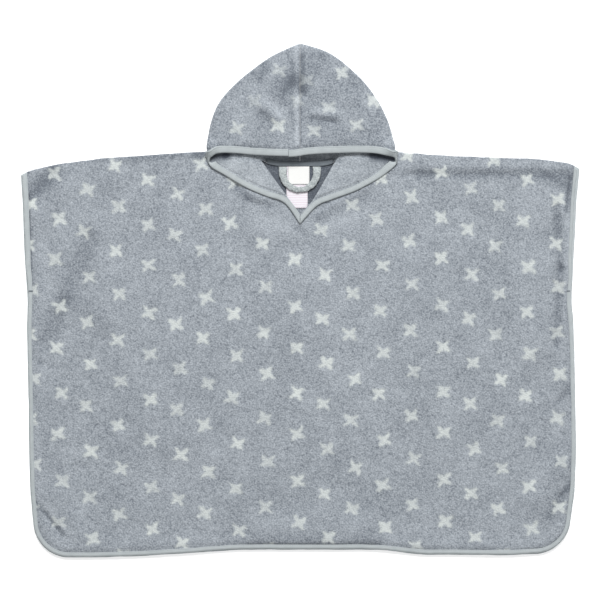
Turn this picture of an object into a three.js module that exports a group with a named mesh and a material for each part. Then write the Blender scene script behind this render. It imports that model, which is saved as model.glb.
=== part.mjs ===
// Hooded bath poncho of terry cloth in a toddler's size, laid flat with its front up.
// Millimetres. +X runs to the right, +Y towards the tip of the hood, +Z up, and the cloth lies on z = 0.
import * as THREE from "three";

// Walls of cloth and tape, and the gaps that a seam keeps between two pieces.
const HALF_CLOTH = 1.25;
const HALF_PRESSED = 0.5; // half the wall where an edge tape presses it
const SEAM_GAP = 0.3;
const TAPE = 0.7;
const TAPE_WIDTH = 8;
const FACE_TAPE_WIDTH = 10;
const TAPE_HALF = 1.6; // half the height of a folded edge tape
const TAPE_SLOT = TAPE_HALF - TAPE; // half the slot that holds the cloth's edge
const EDGE_IN = 1; // from the outside of a tape to the edge of the cloth in it

// Heights of the middle of each layer.
const BACK_MIDDLE = HALF_CLOTH;
const FRONT_MIDDLE = 3 * HALF_CLOTH + SEAM_GAP;
const FRONT_EDGE = 3 * TAPE_HALF + SEAM_GAP;
const LABEL = 0.6;
const CARE_LABEL_MIDDLE = 2 * HALF_CLOTH + SEAM_GAP + LABEL / 2;
const NECK_LABEL_MIDDLE = CARE_LABEL_MIDDLE + LABEL + SEAM_GAP;
const FRONT_OVER_LABEL = CARE_LABEL_MIDDLE + LABEL / 2 + SEAM_GAP + HALF_CLOTH;
const COLLAR_MIDDLE = FRONT_OVER_LABEL + HALF_CLOTH + SEAM_GAP + TAPE_HALF;
const COLLAR_LIFT = 0.6; // how far the bound lip of the collar rises over its seam
const LIFT_FROM = 0.79; // shares of the crown between which that lift grows
const LIFT_TO = 0.95;

// Outline of the laid body. Columns left and right are distances from the middle line.
const SIDES = [
  { y: 190, left: 400, right: 400 },
  { y: 143, left: 396.8, right: 395.5 },
  { y: 57, left: 393.8, right: 391.5 },
  { y: 0, left: 389.3, right: 388.5 },
  { y: -40, left: 390.7, right: 391.8 },
  { y: -143, left: 388.2, right: 394.3 },
  { y: -215, left: 387.7, right: 395 },
  { y: -272, left: 386, right: 393 },
  { y: -315, left: 382, right: 387 },
];
const SHOULDERS = [
  { x: -400, y: 180 },
  { x: -386, y: 186 },
  { x: -343, y: 195.5 },
  { x: -285, y: 203 },
  { x: -142, y: 213 },
  { x: -64, y: 213 },
  { x: 64, y: 213 },
  { x: 144, y: 212 },
  { x: 215, y: 206.5 },
  { x: 344, y: 202.5 },
  { x: 387, y: 196 },
  { x: 400, y: 189 },
];
const HEM = [
  { x: -330, y: -367.8 },
  { x: -285, y: -367.8 },
  { x: -214, y: -365 },
  { x: -85, y: -356.5 },
  { x: 115, y: -356.5 },
  { x: 172, y: -363.5 },
  { x: 301, y: -364.5 },
  { x: 336, y: -362.5 },
];
const CORNER_RADIUS = 52;

// Necklines of the panels and of the hood sewn to them.
const NECK_HALF = 64;
const BACK_NECK_Y = 193;
const BACK_NECK_RISE = 18;
const FRONT_NECK = [
  { x: -64, y: 213 },
  { x: -18, y: 147 },
  { x: 0, y: 123 },
  { x: 20, y: 145 },
  { x: 50, y: 197 },
  { x: 64, y: 213 },
];

// Grid of a panel: columns across, rows down, and steps round each hem corner.
const NECK_COLUMNS = [-64, -50, -34, -18, 0, 20, 35, 50, 64];
const COLUMNS = [-300, -250, -200, -150, -105, ...NECK_COLUMNS, 105, 150, 200, 250, 300];
const ROWS = 18;
const CORNER_STEPS = 4;
const PRESSED_IN = 7.3; // from the cloth's edge to the end of its pressed strip
const FULL_IN = 8.6; // from the cloth's edge to where the wall is full

// How far the front's outline lies inside the back's.
const FRONT_TRIM = 1.5;
const RIGHT_ARMHOLE_TRIM = 5;
const ARMHOLE_FOOT_Y = 13;
const ARMHOLE_OPEN_Y = 73; // the right armhole's layers are fully apart from here up

// The front rises to its tape over this strip inside the edge, and lies flat under the hood's lips.
const EDGE_RISE = { from: 10, to: 40 };
const UNDER_HOOD = { bottomY: 105, fadeY: 60, sideX: 145, fadeX: 190 };

// Soft folds of the front: a ridge from one point to the other, its half width and its height.
const FOLDS = [
  { fromX: -340, fromY: 160, toX: -372, toY: 120, width: 20, height: 2.8 },
  { fromX: -342, fromY: 95, toX: -340, toY: 0, width: 18, height: 2.6 },
  { fromX: -290, fromY: 110, toX: -285, toY: -20, width: 24, height: 2.4 },
  { fromX: 348, fromY: 150, toX: 344, toY: -70, width: 22, height: 3.2 },
  { fromX: 200, fromY: 190, toX: 380, toY: 186, width: 16, height: 2 },
  { fromX: 340, fromY: -285, toX: 372, toY: -235, width: 20, height: 2.6 },
  { fromX: -350, fromY: -280, toX: -318, toY: -330, width: 20, height: 2.4 },
  { fromX: -170, fromY: 60, toX: -190, toY: -190, width: 50, height: 2.4 },
  { fromX: 150, fromY: 40, toX: 205, toY: -170, width: 55, height: 2.8 },
  { fromX: 5, fromY: 20, toX: -25, toY: -230, width: 45, height: 2 },
  { fromX: -60, fromY: -325, toX: 95, toY: -325, width: 24, height: 2.6 },
];

// Hood. Its folded outline, bound lips and seam, as distances from the middle line and heights up the cloth.
const HOOD_TIP_Y = 367.8;
const CROWN = [
  { y: 358, left: 23, right: 33 },
  { y: 344, left: 49, right: 57 },
  { y: 315, left: 86.6, right: 89.4 },
  { y: 286, left: 113.8, right: 111 },
  { y: 257.6, left: 126.6, right: 125.2 },
  { y: 229, left: 132.4, right: 133.8 },
  { y: 212, left: 133.8, right: 138 },
  { y: 201, left: 133, right: 139.5 },
];
const UPPER_LIP = [
  { left: 0, leftY: 208, right: 0, rightY: 208 },
  { left: 16, leftY: 207, right: 17, rightY: 210 },
  { left: 61, leftY: 208, right: 69, rightY: 212 },
  { left: 104, leftY: 208, right: 104, rightY: 210.5 },
];
const LOWER_LIP = [
  { left: 105, leftY: 178.5, right: 113, rightY: 178.5 },
  { left: 76.5, leftY: 162, right: 80, rightY: 158.5 },
  { left: 48, leftY: 150, right: 45.5, rightY: 145.5 },
  { left: 21, leftY: 139.5, right: 23, rightY: 135.5 },
  { left: 0, leftY: 110.6, right: 0, rightY: 110.6 },
];
const HOOD_SEAM = [
  { left: 62, leftY: 209, right: 62, rightY: 211 },
  { left: 41, leftY: 179.5, right: 49, rightY: 196 },
  { left: 17.5, leftY: 146.5, right: 20, rightY: 145 },
  { left: 0, leftY: 123.4, right: 0, rightY: 123.4 },
];
const CROWN_STATIONS = [0, 0.09, 0.19, 0.29, 0.39, 0.49, 0.59, 0.69, 0.79, 0.87, 0.925, 0.965, 1];
const LIP_STEPS = 9;
const LEAF_STEPS = 8;
const LIP_ROWS = 2; // steps of a leaf that lie inside its tape, where it is level
const FOLD_STEPS = 4;
const FOLD_TOP = LEAF_STEPS + FOLD_STEPS; // place of the fold's top in a crown station
const CORNER_SHARE = 0.9; // crown stations past this share belong to the corner
const HUB_RISE = 6; // the folds of the hood spread from a hub this far above the upper lip
const HOOD_SEAM_GAP = 0.9; // between the hood and the back neckline
const SEAM_REACH = 0.97; // share of the neckline's half width where the hood's side seam begins
const FOLD_RADIUS = 2.2; // of the middle of the wall, at the tip
const CORNER_FOLD_RADIUS = 3; // the same, where the face tape goes round the fold
const CORNER_TOP_Z = COLLAR_MIDDLE + COLLAR_LIFT + 2 * CORNER_FOLD_RADIUS;
const LIP_MIDDLE_Z = 12.6; // of the upper lip, at the middle line
const LIP_PRESSED_IN = 9.6; // from a lip to where the wall leaves its tape
const LIP_FULL_IN = 11.8; // from a lip to where the wall is full
const PRESSED_REACH = 11.4; // the wall is pressed nearer to the bound edge than this
const SHORT_LINE = { pressed: 0.8, full: 0.9, slant: 0.4 }; // limits on a short or slanting line of a leaf
const V_MITRE = 1.76; // how much longer an inset is along the middle line of the V
const V_TAPE = { share: 0.74, from: 0.55, to: 0.85 }; // the face tape narrows to this share near the V

// Where the hood climbs from the floor onto the shoulders.
const CLIMB_FOOT_Y = 240;
const CLIMB_TOP_Y = 216;
const CLIMB_INNER_X = 46;
const CLIMB_OUTER_X = 57;

// Creases of the hood's upper leaf.
const HOOD_CREASES = [
  { fromX: 0, fromY: 316, toX: 1, toY: 296, width: 9, height: -1.2 },
  { fromX: -57, fromY: 279, toX: -34, toY: 258, width: 8, height: 1.6 },
  { fromX: 18, fromY: 268, toX: 52, toY: 263, width: 8, height: 1.4 },
  { fromX: -54, fromY: 322, toX: -40, toY: 338, width: 9, height: 1.2 },
  { fromX: -95, fromY: 250, toX: -70, toY: 232, width: 14, height: 1.4 },
  { fromX: 70, fromY: 290, toX: 96, toY: 250, width: 14, height: 1.3 },
];

// Trim at the back neck.
const NECK_TAPE = { reach: 54, below: 1, above: 6, half: 0.4, columns: 12 };
const NECK_TAPE_CLIMB = { height: 1.8, from: 22, to: 40 };
const LOOP = { middleX: -0.3, radius: 24.5, bendY: 183, topY: 191.4, half: 5.5, footShare: 0.7 };
const LOOP_WALL = { thick: 2.4, round: 0.7, rise: 1.8, steps: 14 };
const NECK_LABEL = { left: -17, right: 13.5, bottom: 166, top: 191.6 };
const CARE_LABEL = { left: -19.5, right: 11, bottom: 131.7, top: 191.6 };

const TERRY = { color: 0xa3aab0, roughness: 0.97, metalness: 0 };
const JERSEY = { color: 0xb7c0c2, roughness: 0.85, metalness: 0 };
const LOOP_TERRY = { color: 0xc3cbc9, roughness: 0.95, metalness: 0 };
const SATIN = { color: 0xf0efee, roughness: 0.6, metalness: 0 };

const UP = new THREE.Vector3(0, 0, 1);

// A value of one column of a table at a place along another, straight between the rows.
function lookup(rows, key, place, column) {
  const sorted = [...rows].sort((a, b) => a[key] - b[key]);
  const last = sorted.length - 1;
  if (place <= sorted[0][key]) return sorted[0][column];
  if (place >= sorted[last][key]) return sorted[last][column];
  const after = sorted.findIndex((row) => row[key] >= place);
  const low = sorted[after - 1];
  const high = sorted[after];
  const share = (place - low[key]) / (high[key] - low[key]);
  return THREE.MathUtils.lerp(low[column], high[column], share);
}

// Sum of soft ridges at one place: each is highest on its line and fades over its width.
function relief(rows, x, y) {
  let sum = 0;
  for (const row of rows) {
    const alongX = row.toX - row.fromX;
    const alongY = row.toY - row.fromY;
    const share = ((x - row.fromX) * alongX + (y - row.fromY) * alongY) / (alongX ** 2 + alongY ** 2);
    const near = THREE.MathUtils.clamp(share, 0, 1);
    const away = Math.hypot(x - row.fromX - near * alongX, y - row.fromY - near * alongY);
    sum += row.height * Math.exp(-((away / row.width) ** 2));
  }
  return sum;
}

// A closed wall round a middle surface: its points, half thickness and direction at each, and triangles.
function wall(points, halves, directions, triangles) {
  const count = points.length;
  const position = [];
  for (const sign of [1, -1]) {
    points.forEach((point, i) => {
      const moved = point.clone().addScaledVector(directions[i], sign * halves[i]);
      position.push(moved.x, moved.y, moved.z);
    });
  }
  const index = [];
  const edges = new Set();
  for (const [a, b, c] of triangles) {
    index.push(a, b, c, a + count, c + count, b + count);
    for (const pair of [[a, b], [b, c], [c, a]]) edges.add(pair.join(" "));
  }
  for (const edge of edges) {
    const [a, b] = edge.split(" ").map(Number);
    if (edges.has(`${b} ${a}`)) continue;
    index.push(a + count, b + count, b, a + count, b, a);
  }
  const geometry = new THREE.BufferGeometry();
  geometry.setAttribute("position", new THREE.Float32BufferAttribute(position, 3));
  geometry.setIndex(index);
  return geometry;
}

// A closed tube of a given section through stations, each with a place and the two axes of the section.
function sweep(section, stations, isLoop) {
  const size = section.length;
  const position = [];
  for (const { place, across, normal } of stations) {
    for (const [a, b] of section) {
      const point = place.clone().addScaledVector(across, a).addScaledVector(normal, b);
      position.push(point.x, point.y, point.z);
    }
  }
  const index = [];
  const spans = isLoop ? stations.length : stations.length - 1;
  for (let i = 0; i < spans; i += 1) {
    const here = i * size;
    const next = ((i + 1) % stations.length) * size;
    for (let j = 0; j < size; j += 1) {
      const k = (j + 1) % size;
      index.push(here + j, next + j, next + k, here + j, next + k, here + k);
    }
  }
  if (!isLoop) {
    const contour = section.map(([a, b]) => new THREE.Vector2(a, b));
    const far = (stations.length - 1) * size;
    for (const [a, b, c] of THREE.ShapeUtils.triangulateShape(contour, [])) {
      index.push(a, b, c, far + a, far + c, far + b);
    }
  }
  const geometry = new THREE.BufferGeometry();
  geometry.setAttribute("position", new THREE.Float32BufferAttribute(position, 3));
  geometry.setIndex(index);
  return facingOut(geometry);
}

// Turns a closed geometry round when its faces point inwards.
function facingOut(geometry) {
  const at = geometry.getAttribute("position");
  const index = geometry.getIndex().array;
  const corner = [new THREE.Vector3(), new THREE.Vector3(), new THREE.Vector3()];
  let volume = 0;
  for (let i = 0; i < index.length; i += 3) {
    corner.forEach((point, k) => point.fromBufferAttribute(at, index[i + k]));
    volume += corner[0].dot(corner[1].cross(corner[2]));
  }
  if (volume < 0) {
    for (let i = 0; i < index.length; i += 3) {
      [index[i + 1], index[i + 2]] = [index[i + 2], index[i + 1]];
    }
  }
  return geometry;
}

// Section of an edge tape folded round a cloth's edge: across is 0 at that edge and grows into the cloth.
function tapeSection(width) {
  const inner = width - EDGE_IN;
  const round = SEAM_GAP;
  return [
    [inner, TAPE_HALF],
    [-EDGE_IN + round, TAPE_HALF],
    [-EDGE_IN, TAPE_HALF - round],
    [-EDGE_IN, -TAPE_HALF + round],
    [-EDGE_IN + round, -TAPE_HALF],
    [inner, -TAPE_HALF],
    [inner, -TAPE_SLOT],
    [-SEAM_GAP, -TAPE_SLOT],
    [-SEAM_GAP, TAPE_SLOT],
    [inner, TAPE_SLOT],
  ];
}

// The back neckline: a shallow curve between the shoulder points.
function backNeck(x) {
  return BACK_NECK_Y + BACK_NECK_RISE * (x / NECK_HALF) ** 2;
}

function frontNeck(x) {
  return lookup(FRONT_NECK, "x", x, "y");
}

// Stations down one side of a panel's cloth, from the shoulder tip to where the corner begins.
// Each station has its place and its inward direction.
function sideStations(column, sign, trim, footY) {
  const sideX = (y) => lookup(SIDES, "y", y, column) - EDGE_IN - trim[column](y);
  const tip = SHOULDERS.at(sign < 0 ? 0 : -1);
  const topX = sign * (Math.abs(tip.x) - EDGE_IN - trim[column](tip.y));
  const topY = lookup(SHOULDERS, "x", topX, "y");
  const places = [];
  for (let row = 0; row <= ROWS; row += 1) {
    const y = THREE.MathUtils.lerp(topY, footY, row / ROWS);
    places.push(new THREE.Vector3(row === 0 ? topX : sign * sideX(y), y, 0));
  }
  const slope = (lookup(SHOULDERS, "x", topX - sign * FULL_IN, "y") - topY) / FULL_IN;
  return places.map((place, row) => {
    if (row === 0) return { place, across: new THREE.Vector3(-sign, slope, 0) };
    const after = places[Math.min(row + 1, ROWS)];
    const along = after.clone().sub(places[row - 1]).normalize();
    return { place, across: new THREE.Vector3(sign * along.y, -sign * along.x, 0) };
  });
}

// Stations round a bottom corner, from the foot of the side to the hem.
function cornerStations(sign, foot, radius) {
  const stations = [];
  for (let step = 0; step <= CORNER_STEPS; step += 1) {
    const turn = (Math.PI / 2) * (step / CORNER_STEPS);
    const outward = new THREE.Vector3(sign * Math.cos(turn), -Math.sin(turn), 0);
    const middle = new THREE.Vector3(foot.x - sign * radius, foot.y, 0);
    const place = middle.addScaledVector(outward, radius);
    stations.push({ place, across: outward.clone().negate() });
  }
  return stations;
}

// The edge of a panel's cloth down both sides and round the hem.
function edgeStations(trim) {
  const hemY = (x) => lookup(HEM, "x", x, "y") + EDGE_IN + trim.hem;
  const radius = CORNER_RADIUS - EDGE_IN - trim.hem;
  const sideAndCorner = (column, sign) => {
    const footY = hemY(HEM.at(sign < 0 ? 0 : -1).x) + radius;
    const side = sideStations(column, sign, trim, footY);
    const corner = cornerStations(sign, side[ROWS].place, radius);
    side[ROWS] = corner[0];
    return { side, corner };
  };
  const left = sideAndCorner("left", -1);
  const right = sideAndCorner("right", 1);
  const hem = COLUMNS.map((x) => {
    return { place: new THREE.Vector3(x, hemY(x), 0), across: new THREE.Vector3(0, 1, 0) };
  });
  return {
    left: left.side,
    right: right.side,
    bottom: [...left.corner, ...hem, ...right.corner.reverse()],
  };
}

function inFrom({ place, across }, distance) {
  return place.clone().addScaledVector(across, distance);
}

// The line where the columns of a panel's grid meet the shoulders and the neck.
function topOfColumns({ left, right, bottom }, neckline) {
  const last = bottom.length - 1;
  const reach = Math.abs(COLUMNS[0]);
  return bottom.map((foot, j) => {
    if (j === 0) return left[0];
    if (j === last) return right[0];
    const side = foot.x < 0 ? left : right;
    const past = Math.max(0, (Math.abs(foot.x) - reach) / (Math.abs(side[ROWS].x) - reach));
    const x = foot.x + past * (side[0].x - side[ROWS].x);
    const y = Math.abs(x) < NECK_HALF ? neckline(x) : lookup(SHOULDERS, "x", x, "y");
    return new THREE.Vector3(x, y, 0);
  });
}

// The point of a panel's grid in row i and column j, blended from the four lines round the grid.
function gridPoint({ top, bottom, left, right }, i, j) {
  const last = top.length - 1;
  const u = (top[j].x - top[0].x) / (top[last].x - top[0].x);
  const v = i / ROWS;
  return new THREE.Vector3()
    .addScaledVector(top[j], 1 - v)
    .addScaledVector(bottom[j], v)
    .addScaledVector(left[i], 1 - u)
    .addScaledVector(right[i], u)
    .addScaledVector(top[0], -(1 - u) * (1 - v))
    .addScaledVector(top[last], -u * (1 - v))
    .addScaledVector(bottom[0], -(1 - u) * v)
    .addScaledVector(bottom[last], -u * v);
}

// Faces of a grid. Their diagonals slant one way on the left and the other way on the right.
function gridQuads(grid) {
  const quads = [];
  for (let i = 0; i + 1 < grid.length; i += 1) {
    const columns = grid[i].length - 1;
    for (let j = 0; j < columns; j += 1) {
      const quad = [grid[i + 1][j], grid[i + 1][j + 1], grid[i][j + 1], grid[i][j]];
      if (j < columns / 2) quad.push(quad.shift());
      quads.push(quad);
    }
  }
  return quads;
}

// One panel of the body: a grid inside, and a pressed strip round it that the edge tape holds.
function bodyPanel(trim, neckline, heightAt, edgeHeight) {
  const stations = edgeStations(trim);
  const lines = {};
  for (const name of ["left", "right", "bottom"]) {
    lines[name] = stations[name].map((station) => inFrom(station, FULL_IN));
  }
  lines.top = topOfColumns(lines, neckline);
  const columns = lines.top.length - 1;
  const points = [];
  const grid = [];
  for (let i = 0; i <= ROWS; i += 1) {
    grid.push([]);
    for (let j = 0; j <= columns; j += 1) {
      const point = gridPoint(lines, i, j);
      point.z = heightAt(point.x, point.y);
      grid[i].push(points.push(point) - 1);
    }
  }
  const halves = points.map(() => HALF_CLOTH);
  const rim = [
    ...stations.left.map((station, i) => ({ ...station, inner: grid[i][0] })),
    ...stations.bottom.slice(1, -1).map((station, j) => ({ ...station, inner: grid[ROWS][j + 1] })),
    ...stations.right.map((station, i) => ({ ...station, inner: grid[i][columns] })).reverse(),
  ];
  for (const station of rim) {
    station.place.z = edgeHeight;
    station.normal = UP;
    station.pressed = points.push(inFrom(station, PRESSED_IN)) - 1;
    station.edge = points.push(station.place.clone()) - 1;
    halves.push(HALF_PRESSED, HALF_PRESSED);
  }
  const quads = gridQuads(grid);
  for (let k = 0; k + 1 < rim.length; k += 1) {
    const here = rim[k];
    const next = rim[k + 1];
    quads.push([here.pressed, next.pressed, next.inner, here.inner]);
    quads.push([here.edge, next.edge, next.pressed, here.pressed]);
  }
  const triangles = quads.flatMap(([a, b, c, d]) => [[a, b, c], [a, c, d]]);
  const geometry = wall(points, halves, points.map(() => UP), triangles);
  return { geometry, rim };
}

// The front rises a little at its bound edge, lies on the care label at the neck, and has soft folds.
function frontHeight(x, y) {
  const { smoothstep } = THREE.MathUtils;
  const sideX = lookup(SIDES, "y", y, x < 0 ? "left" : "right");
  const inside = Math.min(sideX - Math.abs(x), y - lookup(HEM, "x", x, "y"));
  const { bottomY, fadeY, sideX: besideX, fadeX } = UNDER_HOOD;
  const edgeRise = (FRONT_EDGE - FRONT_MIDDLE) * (1 - smoothstep(inside, EDGE_RISE.from, EDGE_RISE.to));
  const open = Math.max(smoothstep(-y, -bottomY, -fadeY), smoothstep(Math.abs(x), besideX, fadeX));
  const neckRise = (FRONT_OVER_LABEL - FRONT_MIDDLE) * (1 - open);
  return FRONT_MIDDLE + Math.max(edgeRise, neckRise) + open * relief(FOLDS, x, y);
}

// The lower leaf of the hood: on the floor beyond the shoulders, and over the front below them.
function lowerLeafHeight(x, y) {
  const { smoothstep } = THREE.MathUtils;
  const aside = smoothstep(Math.abs(x), CLIMB_INNER_X, CLIMB_OUTER_X);
  const down = 1 - smoothstep(y, CLIMB_TOP_Y, CLIMB_FOOT_Y);
  return THREE.MathUtils.lerp(BACK_MIDDLE, COLLAR_MIDDLE, aside * down);
}

// A smooth curve through the points of a table's side.
function sidePath(rows, column, sign) {
  const points = rows.map((row) => new THREE.Vector2(sign * row[column], row[`${column}Y`] ?? row.y));
  return new THREE.SplineCurve(points);
}

// Outlines of one half of the hood: the foot of the fold along the crown, both lips and the neck seam.
function hoodPaths(column, sign) {
  const tip = { y: HOOD_TIP_Y, [column]: 0 };
  const outlines = sidePath([tip, ...CROWN], column, sign);
  const hub = new THREE.Vector2(0, UPPER_LIP[0].leftY + HUB_RISE);
  const crown = CROWN_STATIONS.map((share) => {
    const radius = THREE.MathUtils.lerp(FOLD_RADIUS, CORNER_FOLD_RADIUS, share);
    const outline = outlines.getPointAt(share);
    const outward = outline.clone().sub(hub).normalize();
    const reach = radius + HALF_CLOTH + (share > CORNER_SHARE ? SEAM_GAP : 0);
    return { radius, outward, foot: outline.clone().addScaledVector(outward, -reach) };
  });
  const corner = crown.at(-1).foot;
  const cornerRow = { [column]: sign * corner.x, [`${column}Y`]: corner.y };
  return {
    crown,
    upperLip: sidePath([...UPPER_LIP, cornerRow], column, sign),
    lowerLip: sidePath([cornerRow, ...LOWER_LIP], column, sign),
    seam: sidePath(HOOD_SEAM, column, sign),
  };
}

// The direction across a lip into its leaf.
function inwardOf(path, share) {
  const along = path.getTangentAt(share);
  const across = new THREE.Vector2(-along.y, along.x);
  return across.y < 0 ? across.negate() : across;
}

// A line of a leaf that ends on a bound lip: its places, with the rows that the tape needs near the
// lip, and how far the tape's section is stretched along that line.
function lipLine(from, lip, inward) {
  const length = from.distanceTo(lip);
  const direction = from.clone().sub(lip).normalize();
  const straight = Math.max(SHORT_LINE.slant, direction.dot(inward));
  const pressed = Math.min(LIP_PRESSED_IN / straight, SHORT_LINE.pressed * length);
  const full = Math.min(LIP_FULL_IN / straight, SHORT_LINE.full * length);
  const inner = LEAF_STEPS - LIP_ROWS;
  const insets = [];
  for (let j = 0; j <= inner; j += 1) insets.push(THREE.MathUtils.lerp(length, full, j / inner));
  insets.push(pressed, 0);
  const line = insets.map((inset) => lip.clone().addScaledVector(direction, inset));
  const room = Math.min(1, (SHORT_LINE.full * length * straight) / (FACE_TAPE_WIDTH - EDGE_IN));
  return { line, stretch: room / straight };
}

// A crown station: over the lower leaf, round the fold and back over the upper leaf to its lip.
// At the corner it ends on top of the fold.
function crownStation(paths, i, sign) {
  const share = CROWN_STATIONS[i];
  const { radius, outward, foot } = paths.crown[i];
  const seamX = sign * NECK_HALF * SEAM_REACH * share || sign * (SEAM_GAP / 2);
  const start = new THREE.Vector2(seamX, backNeck(seamX) + HOOD_SEAM_GAP);
  const lift = COLLAR_LIFT * THREE.MathUtils.smoothstep(share, LIFT_FROM, LIFT_TO);
  const places = [];
  for (let j = 0; j <= LEAF_STEPS; j += 1) {
    const { x, y } = start.clone().lerp(foot, j / LEAF_STEPS);
    places.push(new THREE.Vector3(x, y, lowerLeafHeight(x, y) + lift * (j / LEAF_STEPS)));
  }
  const footZ = places.at(-1).z;
  for (let k = 1; k <= FOLD_STEPS; k += 1) {
    const turn = Math.PI * (k / FOLD_STEPS) - Math.PI / 2;
    const { x, y } = foot.clone().addScaledVector(outward, radius * Math.cos(turn));
    places.push(new THREE.Vector3(x, y, footZ + radius * (1 + Math.sin(turn))));
  }
  const { line, stretch } = lipLine(foot, paths.upperLip.getPointAt(share), inwardOf(paths.upperLip, share));
  if (i < CROWN_STATIONS.length - 1) {
    const lipZ = THREE.MathUtils.lerp(LIP_MIDDLE_Z, CORNER_TOP_Z, share ** 2);
    line.slice(1).forEach(({ x, y }, j) => {
      const done = Math.min(1, (j + 1) / (LEAF_STEPS - LIP_ROWS));
      const crease = Math.sin(Math.PI * done) * relief(HOOD_CREASES, x, y);
      places.push(new THREE.Vector3(x, y, THREE.MathUtils.lerp(footZ + 2 * radius, lipZ, done) + crease));
    });
  }
  return { places, stretch };
}

// A lip station: over the collar, from the neck seam to the lower lip. The last one is the V.
function lipStation(paths, i) {
  const share = i / LIP_STEPS;
  const inward = i === LIP_STEPS ? new THREE.Vector2(0, 1 / V_MITRE) : inwardOf(paths.lowerLip, share);
  const { line, stretch } = lipLine(paths.seam.getPointAt(share), paths.lowerLip.getPointAt(share), inward);
  const nearV = THREE.MathUtils.smoothstep(share, V_TAPE.from, V_TAPE.to);
  const places = line.map(({ x, y }, j) => {
    return new THREE.Vector3(x, y, COLLAR_MIDDLE + COLLAR_LIFT * (j / LEAF_STEPS) * (1 - share));
  });
  return { places, stretch: stretch * THREE.MathUtils.lerp(1, V_TAPE.share, nearV) };
}

// Triangles between neighbouring stations, without those whose corners coincide.
function hoodTriangles(lines, sign) {
  const quads = [];
  for (let i = 0; i + 1 < lines.length; i += 1) {
    const here = lines[i].line;
    const next = lines[i + 1].line;
    const last = Math.min(here.length, next.length) - 1;
    for (let j = 0; j < last; j += 1) {
      const quad = [here[j], next[j], next[j + 1], here[j + 1]];
      quads.push(sign < 0 ? quad : quad.reverse());
    }
  }
  return quads
    .flatMap(([a, b, c, d]) => [[a, b, c], [a, c, d]])
    .filter(([a, b, c]) => a !== b && b !== c && c !== a);
}

// Directions across the wall: straight up or down on the leaves, and the surface's own round the fold.
function hoodDirections(points, triangles, lines) {
  const directions = points.map(() => new THREE.Vector3());
  for (const corners of triangles) {
    const [a, b, c] = corners.map((i) => points[i]);
    const face = b.clone().sub(a).cross(c.clone().sub(a));
    for (const i of corners) directions[i].add(face);
  }
  for (const { line } of lines) {
    for (const i of [...line.slice(0, LEAF_STEPS), ...line.slice(FOLD_TOP + 1)]) {
      if (i !== line[FOLD_TOP]) directions[i].set(0, 0, Math.sign(directions[i].z));
    }
  }
  for (const i of lines[0].line) directions[i].setX(0);
  return directions.map((direction) => direction.normalize());
}

// The bound edge, from the V along the lower lip, round the corner and along the upper lip.
function boundEdge(points, directions, lines) {
  const corner = CROWN_STATIONS.length - 1;
  const lipEnd = ({ line, stretch }) => ({ ring: line.at(-2), edge: line.at(-1), stretch });
  const round = [];
  for (let k = LEAF_STEPS; k <= FOLD_TOP; k += 1) {
    round.push({ ring: lines[corner - 1].line[k], edge: lines[corner].line[k], stretch: 1 });
  }
  const lower = lines.slice(corner + 1).map(lipEnd).reverse();
  const upper = lines.slice(0, corner).map(lipEnd).reverse();
  return [...lower, ...round, ...upper].map(({ ring, edge, stretch }) => ({
    place: points[edge].clone(),
    across: points[ring].clone().sub(points[edge]).normalize().multiplyScalar(stretch),
    normal: directions[edge].clone(),
  }));
}

function distanceTo(line, point) {
  let nearest = Infinity;
  for (let k = 0; k + 1 < line.length; k += 1) {
    const span = new THREE.Line3(line[k], line[k + 1]);
    const foot = span.closestPointToPoint(point, true, new THREE.Vector3());
    nearest = Math.min(nearest, foot.distanceTo(point));
  }
  return nearest;
}

// One half of the hood: lower leaf, fold along the crown, upper leaf and collar in one wall.
function hoodHalf(column, sign) {
  const paths = hoodPaths(column, sign);
  const points = [];
  const addLine = ({ places, stretch }, isOnSeam) => {
    if (isOnSeam) places.forEach((place) => place.setX(sign * (SEAM_GAP / 2)));
    return { line: places.map((place) => points.push(place) - 1), stretch };
  };
  const lines = CROWN_STATIONS.map((_, i) => addLine(crownStation(paths, i, sign), i === 0));
  const corner = lines.at(-1).line;
  const cornerPoints = Array(LEAF_STEPS).fill(corner[FOLD_TOP]);
  corner.push(...cornerPoints); // the upper leaf ends in one point there
  for (let i = 1; i <= LIP_STEPS; i += 1) lines.push(addLine(lipStation(paths, i), i === LIP_STEPS));
  const triangles = hoodTriangles(lines, sign);
  const directions = hoodDirections(points, triangles, lines);
  const tape = boundEdge(points, directions, lines);
  const edgeLine = tape.map(({ place }) => place);
  const halves = points.map((point) => {
    return distanceTo(edgeLine, point) < PRESSED_REACH ? HALF_PRESSED : HALF_CLOTH;
  });
  return { geometry: facingOut(wall(points, halves, directions, triangles)), tape };
}

// The face tape of the hood: one closed ring along both halves, with a mitre at the V.
function faceTape(leftTape, rightTape) {
  const rightBack = [...rightTape].reverse();
  const meet = (a, b) => ({
    place: a.place.clone().lerp(b.place, 0.5),
    across: a.across.clone().lerp(b.across, 0.5).setX(0),
    normal: a.normal.clone().lerp(b.normal, 0.5).setX(0).normalize(),
  });
  const stations = [
    meet(leftTape[0], rightTape[0]),
    ...leftTape.slice(1, -1),
    meet(leftTape.at(-1), rightTape.at(-1)),
    ...rightBack.slice(1, -1),
  ];
  return sweep(tapeSection(FACE_TAPE_WIDTH), stations, true);
}

// A flat strip with rows of points across it and columns along it, from a function of both shares.
function strip(columns, rows, half, placeAt) {
  const points = [];
  const triangles = [];
  for (let i = 0; i <= columns; i += 1) {
    for (let j = 0; j <= rows; j += 1) points.push(placeAt(i / columns, j / rows));
  }
  for (let i = 0; i < columns; i += 1) {
    for (let j = 0; j < rows; j += 1) {
      const a = i * (rows + 1) + j;
      const b = a + rows + 1;
      triangles.push([a, b, b + 1], [a, b + 1, a + 1]);
    }
  }
  return wall(points, points.map(() => half), points.map(() => UP), triangles);
}

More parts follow.
